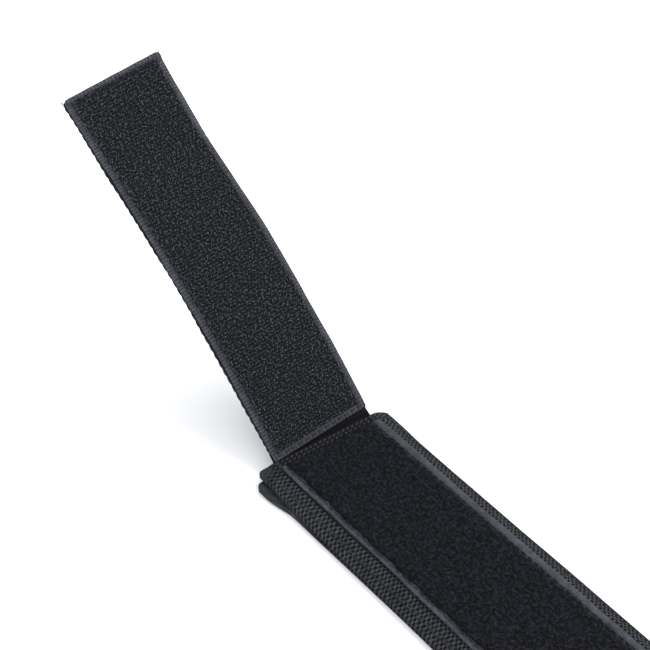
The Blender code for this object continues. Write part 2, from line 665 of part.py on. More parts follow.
# ---------------------------------------------------------------- routing buckle
def make_buckle():
    """A moulded frame with two slots for the sleeve, hung on the strap by its round bar."""
    slot_half = SLEEVE_WIDTH / 2 + SLOT_CLEAR_Y / 2
    outer_half = slot_half + BUCKLE_RAIL
    x0 = BAR_X - BAR_RADIUS - 0.001
    first0 = BAR_X + BAR_RADIUS
    bars = [first0 + SLOT_X, first0 + SLOT_X + BUCKLE_CROSSBAR]
    second1 = bars[1] + SLOT_X
    x1 = second1 + BUCKLE_CROSSBAR
    z = buckle_axis_z()
    frame = [
        rounded_rectangle(x0, x1, -outer_half, outer_half, 0.0035),
        rounded_rectangle(BAR_X - BAR_RADIUS * 0.5, bars[0], -slot_half, slot_half, 0.0015),
        rounded_rectangle(bars[1], second1, -slot_half, slot_half, 0.0015),
    ]
    buckle = to_mesh(plate_piece("buckle", frame, BUCKLE_T, LYING, (0, 0, z), PLASTIC_BLACK))
    cut(buckle, (x0 - 0.001, -slot_half, z - BUCKLE_T), (BAR_X + 0.001, slot_half, z + BUCKLE_T))
    bar = turned(
        "buckle_bar_tool", [(0.0, slot_half + 0.001), (BAR_RADIUS, slot_half + 0.001),
                            (BAR_RADIUS, -slot_half - 0.001), (0.0, -slot_half - 0.001)],
        "Z", (BAR_X, 0, z), PLASTIC_BLACK)
    bar.rotation_euler = (math.pi / 2, 0, 0)
    bpy.data.collections[COLLECTION].objects.unlink(bar)
    bpy.data.collections[CUTTERS].objects.link(bar)
    bar.hide_render = True
    bar.display_type = "WIRE"
    join = buckle.modifiers.new("bar", "BOOLEAN")
    join.operation = "UNION"
    join.solver = "EXACT"
    join.object = bar
    hinge = pivot("buckle_pivot", (BAR_X, 0, z))
    bpy.context.view_layer.update()
    buckle.parent = hinge
    buckle.matrix_parent_inverse = hinge.matrix_world.inverted()
    make_box_stitch()


def make_box_stitch():
    """The rectangle of sewing that holds the strap's returned end."""
    x0, x1 = PLATE_X1 + FOLD_RAMP + 0.001, PLATE_X1 + FOLD_LENGTH - 0.001
    half = STRAP_WIDTH / 2 - BOX_STITCH_INSET
    ring = [
        rounded_rectangle(x0, x1, -half, half, 0.0008, 1),
        rounded_rectangle(x0 + THREAD_W, x1 - THREAD_W, THREAD_W - half, half - THREAD_W, 0.0006, 1),
    ]
    z = fold_mid_z() + STRAP_T / 2 + GAP + THREAD_T / 2
    plate_piece("buckle_box_stitch", ring, THREAD_T, LYING, (0, 0, z), THREAD_BLACK)


def main():
    clear_scene()
    make_collection(COLLECTION)
    make_collection(CUTTERS)
    make_sleeve()
    make_loop_tape()
    make_sleeve_seams()
    make_tension_strap()
    make_tab()
    make_base_plate()
    make_clip()
    make_windlass()
    make_closure()
    make_buckle()


main()
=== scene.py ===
"""Windlass limb tourniquet: the dressed model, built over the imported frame."""

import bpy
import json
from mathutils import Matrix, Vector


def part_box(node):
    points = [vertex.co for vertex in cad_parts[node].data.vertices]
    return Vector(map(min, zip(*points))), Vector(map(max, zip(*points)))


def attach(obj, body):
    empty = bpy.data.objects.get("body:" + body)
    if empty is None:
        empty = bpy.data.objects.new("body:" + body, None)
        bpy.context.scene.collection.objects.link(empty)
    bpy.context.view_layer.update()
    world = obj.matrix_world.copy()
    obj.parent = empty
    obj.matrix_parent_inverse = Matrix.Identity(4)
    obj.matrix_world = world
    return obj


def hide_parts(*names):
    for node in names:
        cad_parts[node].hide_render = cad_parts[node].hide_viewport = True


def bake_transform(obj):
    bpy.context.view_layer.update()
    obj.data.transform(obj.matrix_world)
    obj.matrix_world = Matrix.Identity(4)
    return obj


bl_info = {
    "name": "Windlass Tourniquet",
    "version": (1, 0, 0),
    "blender": (4, 5, 0),
    "location": "View3D > Sidebar > Tourniquet",
    "description": "Builds a limb tourniquet with its sleeve, pull tab, windlass, clip and buckle",
    "category": "Add Mesh",
}

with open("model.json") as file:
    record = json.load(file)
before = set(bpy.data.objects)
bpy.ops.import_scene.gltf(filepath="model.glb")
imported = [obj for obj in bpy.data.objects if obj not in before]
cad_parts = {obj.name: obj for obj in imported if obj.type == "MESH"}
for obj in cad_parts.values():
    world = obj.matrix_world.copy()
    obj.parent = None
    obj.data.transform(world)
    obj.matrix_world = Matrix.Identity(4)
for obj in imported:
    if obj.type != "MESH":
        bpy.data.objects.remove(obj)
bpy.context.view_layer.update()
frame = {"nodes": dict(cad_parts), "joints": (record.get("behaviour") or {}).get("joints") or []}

import json
import math

import bmesh
import bpy
import numpy as np
from bpy.props import FloatProperty, FloatVectorProperty, IntProperty, PointerProperty
from mathutils import Vector

MM = 0.001


def low(node):
    """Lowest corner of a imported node."""
    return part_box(node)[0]


def high(node):
    """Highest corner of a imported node."""
    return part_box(node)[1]


# ---------------------------------------------------------------- places read from the frame
MOUTH_X = low("sleeve_upper").x
UPPER_LOW = low("tab_tail").z + 1.9 * MM
UPPER_TOP = high("sleeve_upper").z
LOWER_TOP = high("sleeve_lower").z
SLEEVE_HALF = high("sleeve_upper").y
TAPE_HALF = high("loop_tape").y
PILE_HALF = high("loop_pile").y
FLAT_HALF = TAPE_HALF + 0.2 * MM
MARGIN_DROP = 1.9 * MM
STRAP_T = high("tab_tail").z - low("tab_tail").z
STRAP_MID = (high("tab_tail").z + low("tab_tail").z) / 2
STRAP_HALF = high("tension_strap_rear").y
JOINTS = {joint["name"]: joint["pos_m"] for joint in frame["joints"]}
HINGE_X = JOINTS["tab_flex"][0]
ROD_Z = (low("windlass_rod").z + high("windlass_rod").z) / 2
ROD_HALF = high("windlass_rod").x
WINDOW_HALF = (0.0200, 0.0167)
PLATE_END = high("base_plate").x

TAB_ROOT = math.radians(45.0)
TAB_TIP = math.radians(28.5)
TAB_LENGTH = 0.141
MOUTH_SLANT = 0.112
FREE_MARGIN = 0.0195
CORNER_EDGE = (0.0185, 0.0235)
FINE_RUN = 0.165
UP = (0.0, 0.0, 1.0)


# ---------------------------------------------------------------- sizes and colours
def colour(red, green, blue):
    """Screen colour, 0 to 255, as the linear values that a shader takes."""
    parts = [part / 255 for part in (red, green, blue)]
    return tuple(p / 12.92 if p <= 0.04045 else ((p + 0.055) / 1.055) ** 2.4 for p in parts)


def length_setting(name, description, default):
    return FloatProperty(
        name=name, description=description, default=default, subtype="DISTANCE", unit="LENGTH")


def colour_setting(name, description, default):
    return FloatVectorProperty(name=name, description=description, default=default, size=3, subtype="COLOR")


class TOURNIQUET_PG_weave(bpy.types.PropertyGroup):
    """Sizes of the cloth's weave and of its hooks, loops and stitches."""

    lattice_along: length_setting("Lattice Along", "Pitch of the open weave along the sleeve", 1.60 * MM)
    lattice_across: length_setting("Lattice Across", "Pitch of the open weave across the sleeve", 2.50 * MM)
    lattice_depth: length_setting("Lattice Depth", "Depth of the open weave's holes", 0.26 * MM)
    scallop_pitch: length_setting("Scallop Pitch", "Pitch of the weft turns along the tab's edge", 3.0 * MM)
    scallop_depth: length_setting("Scallop Depth", "How far the weft turns stand out", 0.26 * MM)
    rib_pitch: length_setting("Rib Pitch", "Pitch of the fine ribs in the tapes' plain edges", 1.15 * MM)
    hook_row: length_setting("Hook Row", "Distance between rows of hooks", 1.12 * MM)
    hook_pitch: length_setting("Hook Pitch", "Distance between hooks in a row", 0.82 * MM)
    hook_height: length_setting("Hook Height", "Height of a hook above its tape", 1.0 * MM)
    hook_wire: length_setting("Hook Wire", "Radius of a hook's wire", 0.100 * MM)
    loop_radius: length_setting("Loop Radius", "Radius of a loop in the pile", 0.42 * MM)
    loop_fibre: length_setting("Loop Fibre", "Radius of a loop's fibre", 0.035 * MM)
    loop_density: FloatProperty(
        name="Loop Density", description="Loops in a square metre of pile", default=2.1e6)
    stitch_pitch: length_setting("Stitch Pitch", "Distance between stitches in a seam", 2.6 * MM)
    stitch_length: length_setting("Stitch Length", "Length of thread that shows in a stitch", 2.0 * MM)
    thread_width: length_setting("Thread Width", "Width of the sewing thread", 0.55 * MM)
    seed: IntProperty(name="Seed", description="Start of every random choice", default=7, min=0)


class TOURNIQUET_PG_colours(bpy.types.PropertyGroup):
    """Colours of the cloths, tapes, threads and mouldings."""

    sleeve: colour_setting("Sleeve", "Threads of the sleeve's open weave", colour(50, 52, 57))
    # Painted shade: a near-black colour that stands in for the shade in the open weave's holes.
    sleeve_hole_shade: colour_setting("Sleeve Holes", "Depths of the open weave", colour(8, 8, 10))
    webbing: colour_setting("Webbing", "Tab and tension strap", colour(32, 33, 37))
    tape: colour_setting("Tape", "Plain edges of the hook and loop tapes", colour(54, 56, 64))
    pile: colour_setting("Pile", "Loops of the loop tape", colour(22, 23, 27))
    hook: colour_setting("Hooks", "Wire of the hooks", colour(43, 45, 50))
    thread: colour_setting("Thread", "Sewing thread", colour(36, 37, 42))
    moulding: colour_setting("Moulding", "Rod, clip, plate and buckle", colour(22, 22, 24))
    rivet: colour_setting("Rivet", "Heads of the clip's rivets", colour(110, 110, 113))
    label: colour_setting("Label", "Blank woven label", colour(150, 150, 147))
    floor: colour_setting("Floor", "Studio floor", colour(246, 247, 250))


class TOURNIQUET_PG_hardware(bpy.types.PropertyGroup):
    """Sizes of the moulded parts' finish."""

    edge: length_setting("Edge", "Rounding of the moulded edges", 0.55 * MM)
    rod_steps: IntProperty(name="Rod Steps", description="Facets round the rod", default=64, min=16)
    slot_round: length_setting("Slot Round", "Rounding of the rod slot's ends", 1.2 * MM)


class TOURNIQUET_PG_stage(bpy.types.PropertyGroup):
    """Floor, lights and camera."""

    floor_size: length_setting("Floor Size", "Side of the studio floor", 12.0)
    lens: FloatProperty(name="Lens", description="Focal length in millimetres", default=77.54)
    sky: FloatProperty(name="Sky", description="Strength of the even white light", default=1.2)
    key: FloatProperty(name="Key", description="Watts of the main soft light", default=15.0, subtype="POWER")
    fill: FloatProperty(
        name="Fill", description="Watts of the second soft light", default=3.0, subtype="POWER")


# ---------------------------------------------------------------- node trees
class Value:
    """A node's socket on which arithmetic works: each operator adds the Math node that it stands for."""

    def __init__(self, nodes, socket):
        self.nodes = nodes
        self.socket = socket

    def __add__(self, other):
        return self.nodes.math("ADD", self, other)

    __radd__ = __add__

    def __mul__(self, other):
        return self.nodes.math("MULTIPLY", self, other)

    __rmul__ = __mul__

    def __sub__(self, other):
        return self.nodes.math("SUBTRACT", self, other)

    def __rsub__(self, other):
        return self.nodes.math("SUBTRACT", other, self)

    def __truediv__(self, other):
        return self.nodes.math("DIVIDE", self, other)

    def __pow__(self, other):
        return self.nodes.math("POWER", self, other)

    def __abs__(self):
        return self.nodes.math("ABSOLUTE", self)


class Nodes:
    """A node tree that is written in Python."""

    def __init__(self, tree):
        self.tree = tree

    @staticmethod
    def find(sockets, key):
        """The socket of that identifier, name or number."""
        if isinstance(key, int):
            return sockets[key]
        for socket in sockets:
            if socket.identifier == key:
                return socket
        return sockets[key]

    def feed(self, socket, value):
        """Links a value's socket, or sets a plain value."""
        if isinstance(value, Value):
            self.tree.links.new(value.socket, socket)
        elif socket.type == "RGBA" and len(value) == 3:
            socket.default_value = (*value, 1.0)
        else:
            socket.default_value = value

    def add(self, kind, settings=None, sockets=None, out=0):
        """One node. Its settings come first, then its sockets. Gives the output named, or several."""
        node = self.tree.nodes.new(kind)
        for key, value in (settings or {}).items():
            setattr(node, key, value)
        for key, value in (sockets or {}).items():
            self.feed(self.find(node.inputs, key), value)
        if out is None:
            return node
        if isinstance(out, tuple):
            return [Value(self, self.find(node.outputs, key)) for key in out]
        return Value(self, self.find(node.outputs, out))

    def math(self, operation, *values):
        return self.add("ShaderNodeMath", {"operation": operation}, dict(enumerate(values)))

    def cos(self, value):
        return self.math("COSINE", value)

    def step(self, value, start, end):
        """0 before start, 1 after end, and smooth between them."""
        return self.add(
            "ShaderNodeMapRange", {"interpolation_type": "SMOOTHSTEP"},
            {"Value": value, "From Min": start, "From Max": end}, "Result")

    def mix(self, factor, one, two):
        """Colour one where factor is 0 and two where it is 1."""
        return self.add(
            "ShaderNodeMix", {"data_type": "RGBA"},
            {"Factor_Float": factor, "A_Color": one, "B_Color": two}, "Result_Color")

    def noise(self, place, scale, detail=2.0, roughness=0.5):
        return self.add(
            "ShaderNodeTexNoise", None,
            {"Vector": place, "Scale": scale, "Detail": detail, "Roughness": roughness}, "Fac")


class Finish(Nodes):
    """A material: its surface shader and the patterns that feed it."""

    def __init__(self, name, metallic=0.0, specular=0.5):
        self.material = bpy.data.materials.new(name)
        self.material.use_nodes = True
        super().__init__(self.material.node_tree)
        self.tree.nodes.clear()
        constant = {"Metallic": metallic, "Specular IOR Level": specular}
        self.shader = self.add("ShaderNodeBsdfPrincipled", None, constant, None)
        output = self.add("ShaderNodeOutputMaterial", None, None, None)
        self.tree.links.new(self.shader.outputs["BSDF"], output.inputs["Surface"])

    def place(self):
        """The point on the object, in metres."""
        return self.add("ShaderNodeTexCoord", None, None, "Object")

    def cloth(self):
        """The cloth's own coordinates, then singly: metres along, metres across, and a mark from 0 to 1."""
        vector = self.add("ShaderNodeAttribute", {"attribute_name": "cloth"}, None, "Vector")
        return [vector, *self.add("ShaderNodeSeparateXYZ", None, {"Vector": vector}, ("X", "Y", "Z"))]

    def lay(self, base, roughness, height=None, distance=0.1 * MM):
        """Feeds the shader. height is the relief, 0 to 1, and distance its depth."""
        self.feed(self.shader.inputs["Base Color"], base)
        self.feed(self.shader.inputs["Roughness"], roughness)
        if height is not None:
            bump = self.add("ShaderNodeBump", None, {"Height": height, "Distance": distance}, "Normal")
            self.feed(self.shader.inputs["Normal"], bump)
        return self.material


FINISHES = {}


def finish(name):
    """The named finish, made once."""
    if name not in FINISHES:
        scene = bpy.context.scene
        FINISHES[name] = MAKERS[name](scene.tourniquet_colours, scene.tourniquet_weave)
    return FINISHES[name]


def shade(tint, amount):
    """A tint made lighter or darker."""
    return tuple(min(1.0, part * amount) for part in tint)


def sleeve_cloth(tints, weave):
    """Open basket weave: zigzag threads round a staggered lattice of holes, with painted shade in the holes.
    The mark says how plain it is; near 1 it gives the mouth's throat a near-black painted shade.
    """
    f = Finish("sleeve cloth", specular=0.12)
    vector, along, across, plain_and_shade = f.cloth()
    waver = f.noise(vector, 330.0, 3.0) - 0.5
    turn_along = (along / weave.lattice_along + waver * 0.85) * math.tau
    turn_across = (across / weave.lattice_across + waver * 0.45) * math.tau
    lattice = f.cos(turn_along) * f.cos(turn_across)
    rolled = f.step(plain_and_shade, 0.15, 0.50)
    hole = f.step(lattice, -0.42, 0.42) * (1.0 - rolled)
    strand = f.cos(turn_along * 3.0 + turn_across * 2.0) * 0.5 + 0.5
    wear = f.noise(vector, 1400.0, 3.0, 0.7)
    patch = f.step(f.noise(vector, 240.0, 3.0, 0.6), 0.30, 0.70)
    tone = (strand * 0.45 + wear * 0.55) * (patch * 0.7 + 0.5)
    thread = f.mix(tone, shade(tints.sleeve, 0.42), shade(tints.sleeve, 1.95))
    drawn = f.add("ShaderNodeMapping", None, {"Vector": vector, "Scale": (0.12, 1.0, 1.0)}, "Vector")
    streak = f.noise(drawn, 1900.0, 3.0, 0.6)
    lip = f.mix(f.step(streak, 0.3, 0.7), shade(tints.sleeve, 0.40), shade(tints.sleeve, 1.15))
    # Painted shade: a near-black colour for the shade inside the mouth, where the tab's root goes in.
    painted_throat_shade = f.mix(wear, shade(tints.sleeve, 0.06), shade(tints.sleeve, 0.22))
    cloth = f.mix(rolled, thread, f.mix(f.step(plain_and_shade, 0.7, 1.0), lip, painted_throat_shade))
    # Painted shade: the holes of the weave take a near-black colour for the shade in their depths.
    base = f.mix(hole, cloth, tints.sleeve_hole_shade)
    height = (1.0 - hole) * 0.8 + strand * 0.2
    return f.lay(base, 0.62 + wear * 0.25, height, 0.30 * MM)


def webbing_weave(tints, weave):
    """Heavy strap: cords along it, each crossed by the weft at its own beat. The mark is painted shade: how
    far the colour is darkened, as at the tab's root in the mouth's shade.
    """
    f = Finish("webbing weave", specular=0.06)
    vector, along, across, soil_and_painted_shade = f.cloth()
    cord = 0.90 * MM
    row = f.math("FLOOR", across / cord)
    crown = abs(f.math("SINE", across * (math.pi / cord)))
    beat = f.cos((along / (1.5 * MM) + row * 0.5) * math.tau)
    over = f.step(beat, -0.55, 0.45)
    wear = f.noise(vector, 1100.0, 3.0, 0.65)
    height = (crown ** 0.6) * (over * 0.6 + 0.4)
    # Painted shade: the mark darkens the weave where the tab's root lies in the mouth's shade.
    tone = (height * 0.7 + wear * 0.3) * (1.0 - soil_and_painted_shade)
    base = f.mix(tone, shade(tints.webbing, 0.08), shade(tints.webbing, 1.65))
    return f.lay(base, 0.55 + wear * 0.3, height, 0.20 * MM)


def ribbed_edge(name, tints, weave, bright_from, bright_to, coarse=1.0):
    """The plain, finely ribbed edge of a tape, paler away from its field. The mark is 1 on a hem."""
    f = Finish(name, specular=0.20)
    vector, along, across, hem = f.cloth()
    waver = f.noise(vector, 700.0, 2.0) - 0.5
    rib = f.cos((along / (weave.rib_pitch * coarse) + waver * 0.35) * math.tau) * 0.5 + 0.5
    knuckle = f.cos((across / (1.35 * MM) + waver * 0.5) * math.tau) * 0.5 + 0.5
    rib = rib * (1.0 - hem) + knuckle * hem
    line = f.cos(across * (math.tau / (0.62 * MM))) * 0.5 + 0.5
    cloud = f.noise(vector, 430.0, 3.0, 0.6)
    height = rib * 0.85 + line * 0.15
    slow = f.step(f.noise(vector, 75.0, 2.0, 0.5), 0.30, 0.70)
    side = f.step(abs(across) + waver * 1.6 * MM, bright_from, bright_to) * (slow * 0.5 + 0.72)
    outer = (side * (1.0 - hem) + hem * 0.95) * 0.74 + 0.26
    tone = (height * 0.60 * coarse + f.step(cloud, 0.32, 0.68) * 0.36 + 0.35 * (1.0 - coarse)) * outer
    base = f.mix(tone, shade(tints.tape, 0.12), shade(tints.tape, 1.75))
    return f.lay(base, 0.50 + cloud * 0.25, height, 0.14 * MM)


def loop_ground(tints, weave):
    """Ground of the loop tape."""
    return ribbed_edge("loop ground", tints, weave, 0.0150, 0.0182, 0.55)


def hook_edge(tints, weave):
    """Ground of the hook tape."""
    return ribbed_edge("hook edge", tints, weave, 0.0160, 0.0186)


def mouth_thread(tints, weave):
    """Heavier thread of the two rows that close the mouth."""
    f = Finish("mouth thread", specular=0.25)
    twist = f.noise(f.place(), 2600.0, 2.0, 0.6)
    base = f.mix(twist, shade(tints.thread, 0.35), shade(tints.thread, 1.7))
    return f.lay(base, 0.45 + twist * 0.2, twist, 0.06 * MM)


def loop_pile(tints, weave):
    """Brushed loops, matted here and there."""
    f = Finish("loop pile", specular=0.04)
    place = f.place()
    fuzz = f.noise(place, 2300.0, 3.0, 0.75)
    mat = f.noise(place, 160.0, 2.0)
    fleck = f.noise(place, 950.0, 2.0, 0.6)
    tone = f.step(fuzz, 0.30, 0.72) * 0.45 + f.step(fleck, 0.42, 0.68) * 0.55 + mat * 0.15
    base = f.mix(tone, shade(tints.pile, 0.10), shade(tints.pile, 2.5))
    return f.lay(base, 0.85 + fuzz * 0.15, fuzz, 0.30 * MM)


def hook_ground(tints, weave):
    """The ground between the hooks: rows of weft with shadow between them."""
    f = Finish("hook ground", specular=0.08)
    vector, along, across, _ = f.cloth()
    waver = f.noise(vector, 500.0, 2.0) - 0.5
    row = f.cos((along / weave.hook_row + waver * 0.3) * math.tau) * 0.5 + 0.5
    knot = f.cos((across / (0.8 * MM) + waver * 0.8) * math.tau) * 0.5 + 0.5
    height = row * 0.6 + knot * 0.4
    base = f.mix(height, shade(tints.hook, 0.12), shade(tints.hook, 0.62))
    return f.lay(base, 0.5 + knot * 0.2, height, 0.30 * MM)


def hook_wire(tints, weave):
    """Drawn nylon wire: smooth, with a soft gloss that changes from hook to hook."""
    f = Finish("hook wire", specular=0.30)
    place = f.place()
    change = f.noise(place, 900.0, 1.0)
    drift = f.noise(place, 45.0, 2.0)
    tone = f.step(change, 0.30, 0.70) * 0.75 + drift * 0.3
    base = f.mix(tone, shade(tints.hook, 0.35), shade(tints.hook, 4.2))
    return f.lay(base, 0.28 + change * 0.25, change, 0.02 * MM)


def sewing_thread(tints, weave):
    """Bonded twisted thread."""
    f = Finish("sewing thread", specular=0.18)
    place = f.place()
    twist = f.noise(place, 3200.0, 2.0, 0.6)
    drift = f.noise(place, 220.0, 1.0)
    base = f.mix(twist * 0.8 + drift * 0.3, shade(tints.thread, 0.5), shade(tints.thread, 1.6))
    return f.lay(base, 0.40 + twist * 0.3, twist, 0.06 * MM)


def moulded_plastic(tints, weave):
    """Glass-filled nylon: fine spark grain, rubbed smoother and paler here and there."""
    f = Finish("moulded plastic", specular=0.30)
    place = f.place()
    grain = f.noise(place, 2600.0, 2.0, 0.6)
    rub = f.step(f.noise(place, 75.0, 4.0, 0.6), 0.50, 0.78)
    flow = f.noise(place, 320.0, 3.0)
    tone = grain * 0.35 + rub * 0.45 + flow * 0.15
    base = f.mix(tone, shade(tints.moulding, 0.7), shade(tints.moulding, 1.8))
    return f.lay(base, 0.52 - rub * 0.14 + grain * 0.12, grain, 0.035 * MM)


def rivet_steel(tints, weave):
    """Tumbled steel with fine scratches."""
    f = Finish("rivet steel", metallic=1.0)
    place = f.place()
    stretched = f.add("ShaderNodeMapping", None, {"Vector": place, "Scale": (1.0, 9.0, 1.0)}, "Vector")
    scratch = f.noise(stretched, 1800.0, 3.0, 0.7)
    stain = f.noise(place, 500.0, 2.0)
    base = f.mix(scratch * 0.6 + stain * 0.3, shade(tints.rivet, 0.55), shade(tints.rivet, 1.2))
    return f.lay(base, 0.26 + scratch * 0.22, scratch, 0.01 * MM)


def label_cloth(tints, weave):
    """Blank damask label, a little soiled."""
    f = Finish("label cloth", specular=0.15)
    vector, along, across, _ = f.cloth()
    rib = f.cos(along * (math.tau / (0.35 * MM))) * f.cos(across * (math.tau / (0.5 * MM))) * 0.5 + 0.5
    soil_and_painted_shade = f.noise(vector, 120.0, 4.0, 0.6)
    base = f.mix(rib * 0.5 + soil_and_painted_shade * 0.4, shade(tints.label, 0.66), shade(tints.label, 1.05))
    return f.lay(base, 0.7 + soil_and_painted_shade * 0.2, rib, 0.08 * MM)


def studio_floor(tints, weave):
    """Matt white paper sweep."""
    f = Finish("studio floor", specular=0.2)
    tooth = f.noise(f.place(), 60.0, 2.0)
    base = f.mix(tooth, shade(tints.floor, 0.995), tints.floor)
    return f.lay(base, 0.9 + tooth * 0.05)


MAKERS = {maker.__name__.replace("_", " "): maker for maker in (
    sleeve_cloth, webbing_weave, loop_ground, hook_edge, mouth_thread, loop_pile, hook_ground, hook_wire,
    sewing_thread, moulded_plastic, rivet_steel, label_cloth, studio_floor)}


# ---------------------------------------------------------------- meshes
def linked(name, mesh):
    """A new object in the scene with that mesh."""
    obj = bpy.data.objects.new(name, mesh)
    bpy.context.scene.collection.objects.link(obj)
    return obj


def belongs(piece, nodes, body="band"):
    """Says which nodes a piece stands for, and the body that it moves with."""
    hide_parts(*nodes)
    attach(piece, body)


def make_piece(name, verts, faces, look, cloth=None, sharp=50.0):
    """An object at the origin with its place in its mesh."""
    mesh = bpy.data.meshes.new(name)
    mesh.from_pydata(verts, [], faces)
    mesh.update()
    if cloth is not None:
        attribute = mesh.attributes.new("cloth", "FLOAT_VECTOR", "POINT")
        attribute.data.foreach_set("vector", np.asarray(cloth, np.float32).ravel())
    mesh.shade_smooth()
    mesh.set_sharp_from_angle(angle=math.radians(sharp))
    mesh.materials.append(finish(look))
    return linked(name, mesh)


def shell(name, upper, under, cloth, look, keep=None, sharp=50.0):
    """A closed piece between two grids of points. Cells that keep turns down are left out and walled in."""
    rows, columns, _ = upper.shape
    if keep is None:
        keep = np.ones((rows - 1, columns - 1), bool)
    index = np.arange(rows * columns).reshape(rows, columns)
    below = rows * columns
    padded = np.pad(keep, 1)
    corner = (index[:-1, :-1], index[1:, :-1], index[1:, 1:], index[:-1, 1:])
    beside = (padded[1:-1, :-2], padded[2:, 1:-1], padded[1:-1, 2:], padded[:-2, 1:-1])
    a, b, c, d = (part[keep] for part in corner)
    faces = [np.stack([a, b, c, d], 1), np.stack([d, c, b, a], 1) + below]
    for side in range(4):
        open_side = keep & ~beside[side]
        one, two = corner[side][open_side], corner[(side + 1) % 4][open_side]
        faces.append(np.stack([two, one, one + below, two + below], 1))
    faces = np.concatenate(faces)
    along = upper[1:, :-1] - upper[:-1, :-1]
    across = upper[:-1, 1:] - upper[:-1, :-1]
    outward = (np.cross(along, across) * (upper - under)[:-1, :-1]).sum()
    if outward < 0:
        faces = faces[:, ::-1]
    used, faces = np.unique(faces, return_inverse=True)
    verts = np.concatenate([upper.reshape(-1, 3), under.reshape(-1, 3)])[used]
    cloth = np.concatenate([cloth.reshape(-1, 3)] * 2)[used]
    return make_piece(name, verts.tolist(), faces.reshape(-1, 4).tolist(), look, cloth, sharp)


class Spine:
    """A path with its own width direction and thickness direction at each station."""

    def __init__(self, points, sides, ups, along=None):
        self.points = np.asarray(points, float)
        self.sides = np.asarray(sides, float)
        self.ups = np.asarray(ups, float)
        if along is None:
            steps = np.linalg.norm(np.diff(self.points, axis=0), axis=1)
            along = np.concatenate([[0.0], np.cumsum(steps)])
        self.along = np.asarray(along, float)
        self.tangents = np.gradient(self.points, axis=0)
        self.tangents /= np.linalg.norm(self.tangents, axis=1)[:, None]

    def grid(self, across, height, forward=0.0):
        """Points at those distances across, above and along, each given for every station and column."""
        shape = np.broadcast_shapes(np.shape(across), np.shape(height), (len(self.points), 1))
        parts = []
        for amount, direction in ((across, self.sides), (height, self.ups), (forward, self.tangents)):
            parts.append(np.broadcast_to(amount, shape)[..., None] * direction[:, None, :])
        return self.points[:, None, :] + parts[0] + parts[1] + parts[2]


def flat_spine(stations, z=0.0):
    """A spine along X."""
    count = len(stations)
    points = np.stack([stations, np.zeros(count), np.full(count, z)], 1)
    return Spine(points, [(0, 1, 0)] * count, [(0, 0, 1)] * count, np.asarray(stations))


def plane_spine(path, count=None, step=1.0 * MM):
    """A spine through (x, z) points in the XZ plane, resampled evenly, its width along Y."""
    path = np.asarray(path, float)
    gone = np.concatenate([[0.0], np.cumsum(np.linalg.norm(np.diff(path, axis=0), axis=1))])
    count = count or max(2, int(gone[-1] / step) + 1)
    even = np.linspace(0.0, gone[-1], count)
    xs, zs = np.interp(even, gone, path[:, 0]), np.interp(even, gone, path[:, 1])
    tangents = np.gradient(np.stack([xs, zs], 1), axis=0)
    tangents /= np.linalg.norm(tangents, axis=1)[:, None]
    ups = np.stack([-tangents[:, 1], np.zeros(count), tangents[:, 0]], 1)
    points = np.stack([xs, np.zeros(count), zs], 1)
    return Spine(points, [(0, 1, 0)] * count, ups, even)


def columns(half, fine_from, fine, coarse, edge=0.5 * MM):
    """Places across a strap: coarse in the middle, fine beyond fine_from, closer still at the edge."""
    middle = np.linspace(0.0, fine_from, max(2, int(round(fine_from / coarse)) + 1))
    margin = np.linspace(fine_from, half - edge, max(2, int(round((half - edge - fine_from) / fine)) + 1))
    turn = half - edge + edge * np.sin(np.linspace(0.0, math.pi / 2, 5))
    right = np.unique(np.round(np.concatenate([middle, margin, turn]), 7))
    return np.concatenate([-right[:0:-1], right])


def edge_round(across, half, radius, least=0.18):
    """Share of the full thickness left at each place across, as the edge rounds off."""
    into = np.clip((np.abs(across) - (half - radius)) / radius, 0.0, 1.0)
    return np.maximum(np.sqrt(np.maximum(0.0, 1.0 - into**2)), least)


def ease(value, start, end):
    """0 before start, 1 after end, smooth between."""
    t = np.clip((np.asarray(value, float) - start) / (end - start), 0.0, 1.0)
    return t * t * (3.0 - 2.0 * t)


def drift(value, seed, pitch):
    """A slow wander between about -1 and 1."""
    rng = np.random.default_rng(seed)
    total = np.zeros(np.shape(value))
    for octave in (1.0, 2.3, 4.9):
        phase = rng.uniform(0, math.tau)
        total = total + np.sin(np.asarray(value) * math.tau * octave / pitch + phase) / octave
    return total / 1.6


def cloth_grid(spine, across, height=0.0):
    """Where each point lies along and across its cloth, and the mark that its finish reads."""
    shape = (len(spine.along), np.shape(across)[-1])
    along = np.broadcast_to(spine.along[:, None], shape)
    return np.stack([along, np.broadcast_to(across, shape), np.broadcast_to(height, shape)], -1)


def strap_piece(name, spine, half, middle, thickness, look, rows, edge=0.35 * MM, sharp=50.0):
    """A strap of even thickness with round edges, along a spine."""
    across = np.tile(rows, (len(spine.along), 1))
    body = edge_round(rows, half, edge)[None, :] * thickness / 2
    upper, under = spine.grid(across, middle + body), spine.grid(across, middle - body)
    return shell(name, upper, under, cloth_grid(spine, across), look, sharp=sharp)


def box_of(node):
    """Lowest and highest corner of a node as arrays."""
    return np.array(low(node)), np.array(high(node))


